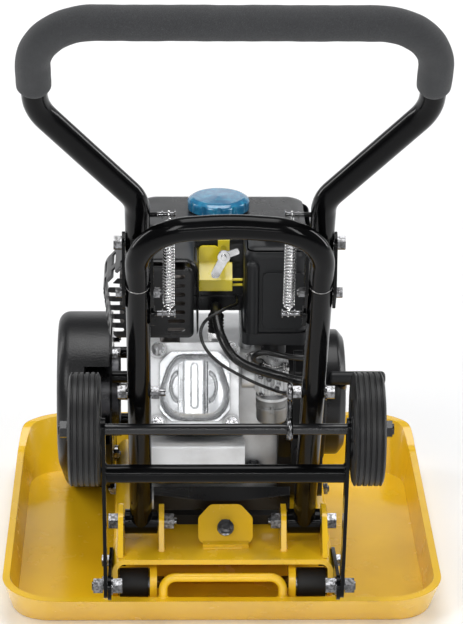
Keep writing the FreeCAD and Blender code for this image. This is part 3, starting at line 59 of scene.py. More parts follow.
# --- material kit ---------------------------------------------------------------------------
class Finish:
    """A procedural material on one Principled shader, built from a few kinds of detail."""

    def __init__(self, name, colour, rough, metal=0.0, **fixed):
        self.material = bpy.data.materials.new(name)
        self.material.use_nodes = True
        self.tree = self.material.node_tree
        self.shader = self.tree.nodes["Principled BSDF"]
        self.place = self.add("ShaderNodeTexCoord").outputs["Object"]
        self.shader.inputs["Metallic"].default_value = metal
        for socket, value in fixed.items():
            self.shader.inputs[socket.replace("_", " ")].default_value = value
        self.shader.inputs["Base Color"].default_value = (*colour, 1)
        self.colour = colour
        self.base = None
        self.rough = rough
        self.normal = None
        self.material.diffuse_color = (*colour, 1)

    def add(self, kind, **settings):
        node = self.tree.nodes.new(kind)
        for key, value in settings.items():
            setattr(node, key, value)
        return node

    def link(self, source, target):
        self.tree.links.new(source, target)

    def noise(self, scale, detail, stretch=None):
        texture = self.add("ShaderNodeTexNoise")
        texture.inputs["Scale"].default_value = scale
        texture.inputs["Detail"].default_value = detail
        texture.inputs["Roughness"].default_value = 0.55
        self.link(self.stretched(stretch), texture.inputs["Vector"])
        return texture.outputs["Fac"]

    def cells(self, scale):
        texture = self.add("ShaderNodeTexVoronoi", feature="F1")
        texture.inputs["Scale"].default_value = scale
        self.link(self.place, texture.inputs["Vector"])
        return texture.outputs["Distance"]

    def stretched(self, stretch):
        if stretch is None:
            return self.place
        mapping = self.add("ShaderNodeMapping")
        mapping.inputs["Scale"].default_value = stretch
        self.link(self.place, mapping.inputs["Vector"])
        return mapping.outputs["Vector"]

    def ranged(self, value, low, high, to_low=0.0, to_high=1.0):
        node = self.add("ShaderNodeMapRange")
        for socket, number in zip(("From Min", "From Max", "To Min", "To Max"), (low, high, to_low, to_high)):
            node.inputs[socket].default_value = number
        self.link(value, node.inputs["Value"])
        return node.outputs["Result"]

    def tint(self, mask, colour):
        """The colour goes over the base where the mask is 1."""
        mix = self.add("ShaderNodeMix", data_type="RGBA")
        self.link(mask, mix.inputs["Factor"])
        if self.base is None:
            mix.inputs["A"].default_value = (*self.colour, 1)
        else:
            self.link(self.base, mix.inputs["A"])
        mix.inputs["B"].default_value = (*colour, 1)
        self.base = mix.outputs["Result"]
        return self

    def edges(self, radius):
        """Rounded edges in the shading."""
        bevel = self.add("ShaderNodeBevel", samples=4)
        bevel.inputs["Radius"].default_value = radius
        self.normal = bevel.outputs["Normal"]
        return self

    def edge_mask(self, radius, low, high):
        """A mask of the sharp edges, where a coat wears first."""
        bevel = self.add("ShaderNodeBevel", samples=4)
        bevel.inputs["Radius"].default_value = radius
        geometry = self.add("ShaderNodeNewGeometry")
        dot = self.add("ShaderNodeVectorMath", operation="DOT_PRODUCT")
        self.link(bevel.outputs["Normal"], dot.inputs[0])
        self.link(geometry.outputs["Normal"], dot.inputs[1])
        return self.ranged(dot.outputs["Value"], high, low)

    def painted_hollow_shade(self, distance, low, high):
        """A mask of the hollows and corners, where shade is painted in."""
        shade = self.add("ShaderNodeAmbientOcclusion", samples=6)
        shade.inputs["Distance"].default_value = distance
        return self.ranged(shade.outputs["AO"], high, low)

    def times(self, a, b):
        node = self.add("ShaderNodeMath", operation="MULTIPLY")
        self.link(a, node.inputs[0])
        self.link(b, node.inputs[1])
        return node.outputs["Value"]

    def bump(self, height, distance, strength=1.0):
        node = self.add("ShaderNodeBump")
        node.inputs["Distance"].default_value = distance
        node.inputs["Strength"].default_value = strength
        self.link(height, node.inputs["Height"])
        if self.normal is not None:
            self.link(self.normal, node.inputs["Normal"])
        self.normal = node.outputs["Normal"]
        return self

    def done(self, rough_noise=None, rough_spread=0.0):
        if self.base is not None:
            self.link(self.base, self.shader.inputs["Base Color"])
        if rough_noise is None:
            self.shader.inputs["Roughness"].default_value = self.rough
        else:
            spread = self.ranged(rough_noise, 0.3, 0.7, self.rough - rough_spread, self.rough + rough_spread)
            self.link(spread, self.shader.inputs["Roughness"])
        if self.normal is not None:
            self.link(self.normal, self.shader.inputs["Normal"])
        return self.material


def paint(name, colour, rough, shade, wear=None, orange_peel=0.00005, coat=0.3, shine=0.5):
    """Sprayed or powder coat: faint orange peel, uneven gloss, dust in places and worn edges."""
    f = Finish(name, colour, rough, Coat_Weight=coat, Coat_Roughness=0.08, Specular_IOR_Level=shine)
    f.tint(f.ranged(f.noise(14, 5), 0.45, 0.75, 0.0, 0.6), shade)
    if wear is not None:
        patch = f.ranged(f.noise(60, 6), 0.5, 0.62)
        f.tint(f.times(f.edge_mask(0.0012, 0.75, 0.97), patch), wear)
    f.edges(0.0008)
    f.bump(f.noise(420, 2), orange_peel, 0.5)
    return f.done(f.noise(22, 5), 0.07)


def cast(name, colour, rough, shade, metal=1.0, grain=0.00018, hollow_shade=(0.01, 0.35, 0.85)):
    """Sand or die cast metal: a grainy skin, painted shade in the hollows and brighter on edges."""
    f = Finish(name, colour, rough, metal)
    f.tint(f.ranged(f.noise(30, 6), 0.42, 0.72, 0.0, 0.75), shade)
    # painted shade: the hollows and corners are darkened to 0.12 of the colour
    f.tint(f.painted_hollow_shade(*hollow_shade), tuple(c * 0.12 for c in colour))
    f.tint(f.edge_mask(0.001, 0.7, 0.97), tuple(min(1.0, c * 1.25 + 0.03) for c in colour))
    f.edges(0.0009)
    f.bump(f.cells(1400), grain * 0.5, 0.35)
    f.bump(f.noise(600, 4), grain, 0.5)
    return f.done(f.noise(45, 5), 0.09)


def plated(name, colour, rough, shade, mottle=0.0):
    """Zinc plate, chrome or turned steel: a little uneven, fine lines."""
    f = Finish(name, colour, rough, 1.0)
    f.tint(f.ranged(f.noise(70, 5), 0.45, 0.7, 0.0, 0.7), shade)
    if mottle:
        f.tint(f.ranged(f.noise(330, 2), 0.42, 0.6, 0.0, mottle), shade)
        f.bump(f.noise(240, 2), 0.0004, 0.5)
    f.edges(0.0004)
    f.bump(f.noise(900, 3, (1, 1, 6)), 0.00003, 0.4)
    return f.done(f.noise(90, 4), 0.07)


def moulded(name, colour, rough, grain, shade, scale=900, coat=0.0, shine=0.3):
    """Moulded plastic or rubber: a fine leathery grain, dust and scuffs."""
    f = Finish(name, colour, rough, 0.0, Coat_Weight=coat, Coat_Roughness=0.25, Specular_IOR_Level=shine)
    f.tint(f.ranged(f.noise(9, 6), 0.48, 0.8, 0.0, 0.7), shade)
    f.edges(0.001)
    f.bump(f.cells(scale), grain, 0.6)
    f.bump(f.noise(scale * 0.45, 3), grain * 0.6, 0.4)
    return f.done(f.noise(16, 6), 0.08)


def foam():
    f = Finish("foam_finish", (0.011, 0.0115, 0.0125), 0.88, 0.0, Sheen_Weight=0.12, Sheen_Roughness=0.5)
    pores = f.cells(2300)
    f.tint(f.ranged(pores, 0.25, 0.75, 0.0, 0.85), (0.045, 0.047, 0.05))
    f.tint(f.ranged(f.noise(1700, 2), 0.6, 0.78, 0.0, 0.7), (0.12, 0.12, 0.125))
    f.bump(pores, 0.00025, 0.8)
    f.bump(f.noise(500, 5), 0.0003, 0.5)
    return f.done(f.noise(30, 3), 0.05)


def clear_blue():
    f = Finish("blue_plastic_finish", (0.012, 0.13, 0.26), 0.16, 0.0, Coat_Weight=0.6, Coat_Roughness=0.05)
    f.tint(f.ranged(f.noise(120, 4), 0.45, 0.7, 0.0, 0.7), (0.03, 0.3, 0.48))
    f.edges(0.0008)
    f.shader.inputs["Subsurface Weight"].default_value = 0.25
    f.shader.inputs["Subsurface Radius"].default_value = (0.002, 0.005, 0.008)
    f.shader.inputs["Subsurface Scale"].default_value = 0.5
    return f.done(f.noise(200, 3), 0.05)


def tyre():
    f = Finish("tyre_finish", (0.008, 0.008, 0.0085), 0.46, 0.0, Specular_IOR_Level=0.35)
    f.tint(f.ranged(f.noise(35, 7), 0.52, 0.82, 0.0, 0.6), (0.035, 0.034, 0.032))
    f.edges(0.001)
    f.bump(f.noise(700, 4), 0.00012, 0.6)
    return f.done(f.noise(25, 6), 0.12)


def muffler_steel():
    f = Finish("muffler_steel_finish", (0.18, 0.17, 0.165), 0.45, 1.0)
    f.tint(f.ranged(f.noise(18, 5), 0.4, 0.7), (0.09, 0.07, 0.055))
    f.edges(0.0008)
    f.bump(f.noise(500, 4), 0.0001, 0.5)
    return f.done(f.noise(30, 4), 0.12)


FINISHES = {
    "yellow_paint": lambda: paint("yellow_paint_finish", (0.86, 0.52, 0.012), 0.24, (0.75, 0.43, 0.009),
                                  wear=(0.5, 0.3, 0.06), coat=0.35),
    "black_paint": lambda: paint("black_paint_finish", (0.0018, 0.0018, 0.002), 0.15, (0.004, 0.004, 0.0045),
                                 wear=(0.05, 0.05, 0.05), coat=0.03, shine=0.11),
    "rubber": lambda: moulded("rubber_finish", (0.008, 0.008, 0.008), 0.6, 0.00012, (0.022, 0.021, 0.02)),
    "zinc": lambda: plated("zinc_finish", (0.27, 0.27, 0.28), 0.22, (0.05, 0.05, 0.048), mottle=0.85),
    "cast_paint": lambda: paint("cast_paint_finish", (0.012, 0.012, 0.013), 0.45, (0.03, 0.029, 0.028),
                                orange_peel=0.0003, coat=0.05, shine=0.35),
    "bearing_steel": lambda: plated("bearing_steel_finish", (0.7, 0.7, 0.7), 0.16, (0.5, 0.5, 0.5)),
    "shaft_steel": lambda: plated("shaft_steel_finish", (0.4, 0.4, 0.4), 0.27, (0.2, 0.19, 0.18)),
    "pulley_iron": lambda: cast("pulley_iron_finish", (0.16, 0.16, 0.16), 0.45, (0.08, 0.075, 0.07)),
    # the last setting of each aluminium finish gives the reach and strength of the shade painted into its hollows
    "cast_aluminium": lambda: cast("cast_aluminium_finish", (0.76, 0.77, 0.78), 0.38, (0.56, 0.56, 0.56),
                                   metal=0.45, hollow_shade=(0.014, 0.3, 0.85)),
    "pressed_aluminium": lambda: cast("pressed_aluminium_finish", (0.84, 0.86, 0.88), 0.26,
                                      (0.72, 0.74, 0.77), metal=0.3, grain=0.00003,
                                      hollow_shade=(0.007, 0.55, 0.94)),
    "cable_rubber": lambda: moulded("cable_rubber_finish", (0.006, 0.006, 0.006), 0.3, 0.00003,
                                    (0.012, 0.012, 0.012), shine=0.4),
    "muffler_steel": muffler_steel,
    "black_sheet": lambda: paint("black_sheet_finish", (0.0045, 0.0045, 0.005), 0.32, (0.012, 0.012, 0.012),
                                 wear=(0.07, 0.07, 0.07), coat=0.08, shine=0.3),
    "tank_paint": lambda: paint("tank_paint_finish", (0.006, 0.0065, 0.0075), 0.3, (0.012, 0.0125, 0.014),
                                coat=0.12, shine=0.35),
    "blue_plastic": clear_blue,
    "black_plastic": lambda: moulded("black_plastic_finish", (0.0075, 0.008, 0.009), 0.4, 0.0001,
                                     (0.018, 0.018, 0.019)),
    "zinc_casting": lambda: cast("zinc_casting_finish", (0.26, 0.26, 0.255), 0.4, (0.1, 0.097, 0.09),
                                 metal=0.9),
    "yellow_zinc": lambda: paint("yellow_zinc_finish", (0.82, 0.66, 0.012), 0.3, (0.64, 0.5, 0.02), coat=0.3),
    "chrome_steel": lambda: plated("chrome_steel_finish", (0.62, 0.62, 0.62), 0.12, (0.34, 0.34, 0.34)),
    "drum_steel": lambda: plated("drum_steel_finish", (0.045, 0.045, 0.05), 0.3, (0.1, 0.1, 0.1)),
    "belt_rubber": lambda: moulded("belt_rubber_finish", (0.01, 0.01, 0.01), 0.7, 0.0002, (0.02, 0.02, 0.02)),
    "cover_plastic": lambda: moulded("cover_plastic_finish", (0.0055, 0.0055, 0.006), 0.36, 0.00022,
                                     (0.014, 0.014, 0.015), scale=420, coat=0.06),
    "foam": foam,
    "spring_steel": lambda: plated("spring_steel_finish", (0.68, 0.68, 0.68), 0.16, (0.36, 0.36, 0.36)),
    "black_zinc": lambda: paint("black_zinc_finish", (0.006, 0.006, 0.007), 0.22, (0.02, 0.02, 0.02),
                                wear=(0.1, 0.1, 0.1), coat=0.15, shine=0.35),
    "tyre": tyre,
}
materials = {name: make() for name, make in FINISHES.items()}
slots = {part["node"]: part["material_slot"] for part in record["subparts"]}


def dress_cad_nodes():
    for name, node in nodes.items():
        node.data.materials.clear()
        node.data.materials.append(materials[slots[name]])


def soften_hardware():
    """Real chamfers on the corners of the bolt heads and nuts."""
    for name in ("deck_hardware", "plate_hardware", "engine_bolts", "handle_bolts"):
        chamfer = nodes[name].modifiers.new("chamfer", "BEVEL")
        chamfer.width = 0.0007
        chamfer.segments = 2
        chamfer.limit_method = "ANGLE"
        chamfer.angle_limit = math.radians(40)


dress_cad_nodes()
soften_hardware()


# --- shape kit ------------------------------------------------------------------------------
JOINTS = {joint["name"]: joint for joint in frame["joints"]}
MM = 0.001
LEAN = math.radians(31.4)
LAY = math.radians(65)
SIDES = (-1, 1)
X_WAY = Vector((1, 0, 0))
Y_WAY = Vector((0, 1, 0))


def joint_at(name):
    return Vector(JOINTS[name]["pos_m"])


def handle(x, forward, up):
    """A point in the leaning handle's own frame, in millimetres from the fold pivot."""
    fold = joint_at("handle_fold")
    along = Vector((0, -math.sin(LEAN), math.cos(LEAN)))
    ahead = Vector((0, math.cos(LEAN), math.sin(LEAN)))
    return Vector((x * MM, fold.y, fold.z)) + ahead * forward * MM + along * up * MM


def barrel(x, up, out):
    """A point in the cylinder's frame: out runs along the bore from the crankshaft, in millimetres."""
    crank = joint_at("crank_spin")
    away = Vector((0, -math.sin(LAY), math.cos(LAY)))
    rise = Vector((0, math.cos(LAY), math.sin(LAY)))
    return Vector(((x - 32) * MM, crank.y, crank.z)) + rise * up * MM + away * out * MM


def made(name, mesh, finish, body, stands_for=(), angle=35.0):
    """A finished mesh becomes a piece: material, shading and body, and the CAD parts it stands for are hidden."""
    piece = bpy.data.objects.new(name, mesh)
    bpy.context.scene.collection.objects.link(piece)
    mesh.materials.clear()
    mesh.materials.append(materials[finish])
    mesh.shade_smooth()
    mesh.set_sharp_from_angle(angle=math.radians(angle))
    if body:
        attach(piece, body)
    if stands_for:
        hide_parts(*stands_for)
    return piece


def mesh_of(name, build):
    """Run a bmesh builder and return its mesh."""
    work = bmesh.new()
    build(work)
    bmesh.ops.recalc_face_normals(work, faces=work.faces)
    mesh = bpy.data.meshes.new(name)
    work.to_mesh(mesh)
    work.free()
    return mesh


def circle(way, sides):
    """Directions evenly spaced round an axis."""
    side = way.orthogonal().normalized()
    other = way.cross(side)
    turns = [2 * math.pi * k / sides for k in range(sides)]
    return [side * math.cos(a) + other * math.sin(a) for a in turns]


def skin(work, rings):
    """Faces between each ring and the next, and over the two ends."""
    sides = len(rings[0])
    for one, two in zip(rings, rings[1:]):
        for k in range(sides):
            after = (k + 1) % sides
            work.faces.new((one[k], one[after], two[after], two[k]))
    work.faces.new(rings[0][::-1])
    work.faces.new(rings[-1])


def sweep(work, line, radius, sides=16, squeeze=None):
    """A round tube along a line of points. radius and squeeze may vary along it."""
    count = len(line)
    radius = radius if callable(radius) else (lambda share, size=radius: size)
    rings = []
    side = None
    for i, point in enumerate(line):
        before = line[max(i - 1, 0)]
        after = line[min(i + 1, count - 1)]
        way = (after - before).normalized()
        if side is None:
            side = way.orthogonal().normalized()
        side = (side - way * side.dot(way)).normalized()
        other = way.cross(side)
        size = radius(i / max(1, count - 1))
        ring = []
        for k in range(sides):
            a = 2 * math.pi * k / sides
            swell = squeeze(i / max(1, count - 1), a) if squeeze else 1.0
            ring.append(work.verts.new(point + (side * math.cos(a) + other * math.sin(a)) * size * swell))
        rings.append(ring)
    skin(work, rings)


def bent(points, radius=None, step=4 * MM):
    """Straight runs joined by arcs of one radius, or the widest that fit, as closely spaced points."""
    line = [points[0]]
    given = radius
    for before, corner, after in zip(points, points[1:], points[2:]):
        one, two = (before - corner).normalized(), (after - corner).normalized()
        half = one.angle(two) / 2
        if half > math.radians(89.9):
            line.append(corner)
            continue
        shorter = min((before - corner).length, (after - corner).length)
        radius = given or 0.45 * shorter * math.tan(half)
        reach = radius / math.tan(half)
        centre = corner + (one + two).normalized() * (radius / math.sin(half))
        start, end = corner + one * reach - centre, corner + two * reach - centre
        turn = start.angle(end)
        steps = max(3, int(radius * turn / step))
        for k in range(steps + 1):
            share = k / steps
            line.append(centre + (start * math.sin((1 - share) * turn) + end * math.sin(share * turn))
                        / math.sin(turn))
    line.append(points[-1])
    filled = [line[0]]
    for point in line[1:]:
        run = (point - filled[-1]).length
        parts = max(1, int(run / step))
        start = filled[-1]
        filled += [start.lerp(point, k / parts) for k in range(1, parts + 1)]
    return filled


def flowing(points, per_run=10):
    """A smooth curve through the points (Catmull-Rom)."""
    ends = [points[0] * 2 - points[1]] + list(points) + [points[-1] * 2 - points[-2]]
    line = []
    for p0, p1, p2, p3 in zip(ends, ends[1:], ends[2:], ends[3:]):
        for k in range(per_run):
            t = k / per_run
            line.append(0.5 * ((2 * p1) + (p2 - p0) * t + (2 * p0 - 5 * p1 + 4 * p2 - p3) * t * t
                               + (3 * p1 - p0 - 3 * p2 + p3) * t ** 3))
    line.append(points[-1])
    return line


def disc(work, centre, way, radius, thick, sides=32):
    """A round or, with few sides, a polygonal boss with a softened rim, standing on centre along way."""
    way = way.normalized()
    soft = min(thick * 0.3, radius * 0.12)
    levels = [(radius, 0), (radius, thick - soft), (radius - soft, thick), (radius * 0.4, thick)]
    spokes = circle(way, sides)
    rings = [[work.verts.new(centre + way * height + spoke * size) for spoke in spokes]
             for size, height in levels]
    skin(work, rings)


def lathe(work, base, way, profile, sides=36):
    """A turned shape on `base`: (height along way, radius) pairs, all in millimetres, closed at both ends."""
    way = way.normalized()
    spokes = circle(way, sides)
    rings = [[work.verts.new((base + way * height + spoke * size) * MM) for spoke in spokes]
             for height, size in profile]
    skin(work, rings)


def bead(work, line, size, seed=0):
    """A weld bead: a low tube with the ripple of its puddles."""
    spot = [math.sin(seed * 1.7 + i * 2.1) * 0.12 for i in range(len(line))]
    sweep(work, line, lambda share: size * (1 + spot[min(len(spot) - 1, int(share * (len(spot) - 1)))]
                                            + 0.16 * math.sin(share * len(line) * 1.9)), 10)


# --- handle: foam grip, springs, pins -------------------------------------------------------
def build_foam_grip():
    low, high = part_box("foam_grip")
    end, bar, corner, thick = 234, 322, 58, 16.6
    half = (high.x - low.x) / 2 / MM - 16.5
    run = [(-half, end), (-half, bar), (half, bar), (half, end)]
    line = bent([handle(x, 0, up) for x, up in run], corner * MM, 3 * MM)
    total = len(line)

    def radius(share):
        inside = min(share, 1 - share) * total * 3 / 5
        lip = math.sqrt(max(0.0, 1 - (1 - min(1, inside)) ** 2)) * 0.12 + 0.88
        wave = 0.006 * math.sin(share * 61) + 0.005 * math.sin(share * 143 + 1)
        return thick * MM * lip * (1 + wave)

    def squeeze(share, a):
        return 1 + 0.006 * math.sin(3 * a + share * 40)

    mesh = mesh_of("foam_grip_sleeve", lambda work: sweep(work, line, radius, 40, squeeze=squeeze))
    grip = made("foam_grip_sleeve", mesh, "foam", "upper_frame", ["foam_grip"], 60)


# where the springs' pins stand in the handle's frame: forward, up
LOW_PIN = (-30, -78)
HIGH_PIN = (0, 45)


def coil_line(first, last, size, turns):
    """A pull spring's wire: a hook round each pin and close coils between them."""
    way = (last - first).normalized()
    side = X_WAY
    other = way.cross(side).normalized()
    hook = 4.2 * MM
    line = []
    for k in range(13):
        a = math.radians(250) * (1 - k / 12) + math.radians(20)
        line.append(first + (other * math.cos(a) + way * (-math.sin(a))) * -hook)
    start, end = first + way * (hook + 4 * MM), last - way * (hook + 4 * MM)
    steps = turns * 20
    for k in range(steps + 1):
        a = 2 * math.pi * k / 20
        swell = size * min(1.0, 0.35 + k / 24, 0.35 + (steps - k) / 24)
        line.append(start.lerp(end, k / steps) + (side * math.cos(a) + other * math.sin(a)) * swell)
    for k in range(13):
        a = math.radians(250) * (k / 12) + math.radians(20)
        line.append(last - (other * math.cos(a) + way * (-math.sin(a))) * -hook)
    return line


def build_springs():
    outer_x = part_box("handle_springs")[1].x / MM
    coil, wire, turns = 5.1, 1.0, 28
    x = outer_x - 6.2
    for side, word in zip(SIDES, ("left", "right")):
        first, last = handle(side * x, *LOW_PIN), handle(side * x, *HIGH_PIN)
        line = coil_line(first, last, coil * MM, turns)
        mesh = mesh_of(f"spring_{word}", lambda work: sweep(work, line, wire * MM, 8))
        spring = made(f"spring_{word}", mesh, "spring_steel", None, ["handle_springs"], 80)
        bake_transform(spring)


def build_pins():
    """A washer and a swaged end on each pin that a spring hooks over."""
    for body, pin in (("chassis", LOW_PIN), ("upper_frame", HIGH_PIN)):
        def ends(work):
            for side in SIDES:
                inward = X_WAY * -side
                disc(work, handle(side * 55.4, *pin), inward, 4.6 * MM, 1.4 * MM, 28)
                disc(work, handle(side * 68, *pin), inward, 4.4 * MM, 1.2 * MM, 28)
                lathe(work, handle(side * 53.8, *pin) / MM, -inward, [(0, 2.5), (0.4, 2.8), (19, 2.8)], 20)
        made(f"spring_pin_washers_{body}", mesh_of("washers", ends), "zinc", body)


# --- engine: valve cover --------------------------------------------------------------------
def ramp(value, low, high):
    share = min(1.0, max(0.0, (value - low) / (high - low)))
    return share * share * (3 - 2 * share)


def polygon_reach(corners, angle):
    """How far the outline of a polygon round the origin lies, in one direction."""
    way = Vector((math.cos(angle), math.sin(angle)))
    best = 0.0
    for a, b in zip(corners, corners[1:] + corners[:1]):
        run = b - a
        cross = way.x * run.y - way.y * run.x
        if abs(cross) < 1e-9:
            continue
        distance = (a.x * run.y - a.y * run.x) / cross
        share = (a.x * way.y - a.y * way.x) / cross
        if distance > 0 and -1e-6 <= share <= 1 + 1e-6:
            best = max(best, distance)
    return best


def segment_distance(x, u, ax, au, bx, bu):
    """The distance in the plane from a point to a straight rib's middle line."""
    run = Vector((bx - ax, bu - au))
    share = max(0.0, min(1.0, (Vector((x - ax, u - au)).dot(run)) / max(1e-9, run.length_squared)))
    return (Vector((x - ax, u - au)) - run * share).length


# one plain stiffening rib along the band, from its lower end to its upper end
COVER_RIB = (-0.5, -21, -0.5, 21)


def cover_height(x, u, inside):
    """The pressed lid's height over its gasket; inside is the distance in from the dome's outline."""
    wall = ramp(inside, -0.5, 4.5)
    side = abs(x + 1.5)
    crown = 17 + 3.5 * (1 - ramp(side, 10, 32))
    band = (1 - ramp(side, 10.2, 11.2)) * 1.6
    height = 2.6 + wall * (crown - 2.6 + band)
    height -= 1.6 * (1 - ramp(abs(inside + 2.0), 0.5, 1.5))
    if inside > 2:
        rib = segment_distance(x, u, *COVER_RIB)
        height += 1.7 * (1 - ramp(rib, 3.0, 4.4))
        for line in (-14.5, -17.2):
            height += 0.7 * (1 - ramp(abs(x - line), 0.4, 1.2))
        height -= 2.6 * (1 - ramp(abs(x - 12.4), 1.3, 2.1))
        bow = abs(math.hypot(side - 16.5, (u + 1) * 0.55) - 8.5)
        if side > 17.5:
            height -= 2.2 * (1 - ramp(bow, 0.9, 1.9))
    return height


def build_valve_cover():
    half = 38.8
    egg = [Vector(p) for p in ((18, 32), (27, 21), (35.5, -4), (35, -17), (28, -30), (16, -35),
                               (-16, -35), (-28, -30), (-35, -17), (-35.5, -4), (-27, 21), (-18, 32))]
    around, rings, seat = 180, 52, 196

    def soft_reach(corners, angle, spread=0.14):
        return sum(polygon_reach(corners, angle + spread * k / 4) for k in range(-4, 5)) / 9

    def flange(angle):
        c, s = abs(math.cos(angle)), abs(math.sin(angle))
        square = half / max(c, s)
        return min(square, half + 7.5)

    def build(work):
        grid = []
        for r in range(rings + 1):
            row = []
            for k in range(around):
                a = 2 * math.pi * k / around
                reach = flange(a) * r / rings
                x, u = reach * math.cos(a), reach * math.sin(a)
                inside = soft_reach(egg, a) - reach
                row.append(work.verts.new(barrel(x, u, seat + cover_height(x, u, inside))))
            grid.append(row)
        middle = work.verts.new(barrel(0, 0, seat + cover_height(0, 0, 30)))
        for k in range(around):
            work.faces.new((middle, grid[1][k], grid[1][(k + 1) % around]))
        for one, two in zip(grid[1:], grid[2:]):
            for k in range(around):
                work.faces.new((one[k], two[k], two[(k + 1) % around], one[(k + 1) % around]))
        foot = []
        for k in range(around):
            a = 2 * math.pi * k / around
            foot.append(work.verts.new(barrel(flange(a) * math.cos(a), flange(a) * math.sin(a), seat + 0.05)))
        for k in range(around):
            work.faces.new((grid[-1][k], foot[k], foot[(k + 1) % around], grid[-1][(k + 1) % around]))
        work.faces.new(foot)
        for vert in grid[0]:
            work.verts.remove(vert)

    made("valve_lid", mesh_of("valve_lid", build), "pressed_aluminium", "chassis", ["valve_cover"], 50)


# --- engine: wires, hoses and small linkages ------------------------------------------------
PLUG_FOOT = barrel(24, 52.2, 172) / MM
PLUG_WAY = (barrel(24, 60, 173.4) - barrel(24, 20, 166.4)).normalized()
LEAD_RUN = [(-10, -146, 360), (-5, -180, 344), (8, -195, 323), (30, -192, 309), (62, -184, 296),
            (90, -184, 288), (108, -150, 284), (104, -120, 270), (96, -97, 262)]
STOP_WIRE_RUN = [(14, -118, 366), (16, -150, 368), (1, -180, 375), (-23, -191, 365), (-28, -198, 351),
                 (-20, -204, 334), (-4, -209, 320), (33, -208, 298), (66, -198, 281), (86, -172, 268),
                 (87, -150, 262), (76.3, -150, 262)]
FUEL_RUN = [(90, -68, 334.7), (90, -68, 322), (104, -112, 306), (99, -160, 306), (67, -180, 318),
            (42, -181, 325), (28, -178, 316), (38, -168, 306), (44, -154.4, 304), (44, -154.4, 292.4)]


def eased(line, passes=6):
    """Even out the bends of a line and keep its ends."""
    for _ in range(passes):
        line = [line[0]] + [(a + b * 2 + c) / 4 for a, b, c in zip(line, line[1:], line[2:])] + [line[-1]]
    return line


def hose(name, points, radius, finish="cable_rubber", sides=18, stands_for=()):
    line = eased(bent([Vector(p) * MM for p in points], None, 2.5 * MM))
    mesh = mesh_of(name, lambda work: sweep(work, line, radius * MM, sides))
    made(name, mesh, finish, "chassis", stands_for, 60)
    return line


def clip(name, line, share, radius, finish="zinc"):
    """A spring clip round a hose: a narrow band with two raised ears."""
    spot = max(1, min(len(line) - 2, int(share * len(line))))
    way = (line[spot + 1] - line[spot - 1]).normalized()
    out = way.orthogonal().normalized()

    def build(work):
        band = [(0, radius), (0, radius + 0.7), (0.4, radius + 0.9), (2.8, radius + 0.9),
                (3.2, radius + 0.7), (3.2, radius)]
        lathe(work, line[spot] / MM - way * 1.6, way, band, 28)
        for lean in (-0.35, 0.35):
            ear = (out + way.cross(out) * lean).normalized()
            start = line[spot] + ear * (radius + 0.4) * MM
            sweep(work, [start, start + ear * 3.4 * MM], 0.9 * MM, 8)
    made(name, mesh_of(name, build), finish, "chassis", (), 40)


def build_hoses():
    top = PLUG_FOOT + PLUG_WAY * 31
    lead = [tuple(top), tuple(top + PLUG_WAY * 9)] + LEAD_RUN
    lead_line = hose("spark_lead", lead, 5.2, stands_for=["engine_hoses"])
    hose("stop_wire", STOP_WIRE_RUN, 1.8, sides=12, stands_for=["engine_hoses"])
    fuel_line = hose("fuel_hose", FUEL_RUN, 3.2, stands_for=["engine_hoses"])
    clip("fuel_clip_tank", fuel_line, 0.035, 3.2)
    clip("fuel_clip_carburettor", fuel_line, 0.97, 3.2)
    clip("lead_clip", lead_line, 0.965, 5.2, "black_zinc")


def block(work, low, high, soft=2.0, steps=3):
    """A box with rounded edges, given by two corners in millimetres."""
    size = [b - a for a, b in zip(low, high)]
    centre = Vector([(a + b) / 2 for a, b in zip(low, high)])
    shape = Matrix.Translation(centre * MM) @ Matrix.Diagonal([d * MM for d in size] + [1])
    verts = bmesh.ops.create_cube(work, size=1.0, matrix=shape)["verts"]
    edges = list({edge for vert in verts for edge in vert.link_edges})
    soft = min([soft] + [d * 0.45 for d in size]) * MM
    bmesh.ops.bevel(work, geom=edges, offset=soft, segments=steps, profile=0.5, affect="EDGES")


def build_plug_boot():
    """The ribbed rubber boot over the plug and the sleeve where the lead leaves it."""
    def boot(work):
        ribs = [(9.4, 7.6), (9.6, 8.8), (12, 9)]
        for k in range(4):
            h = 12 + k * 3.6
            ribs += [(h + 1, 9), (h + 1.5, 8), (h + 2.6, 8), (h + 3.1, 9)]
        ribs += [(28, 9), (30, 8.4), (31.2, 6.9), (33, 6.4), (38, 6.1), (40, 5.5)]
        lathe(work, PLUG_FOOT, PLUG_WAY, ribs, 40)
    made("plug_boot", mesh_of("plug_boot", boot), "rubber", "chassis", ["engine_hoses"], 40)


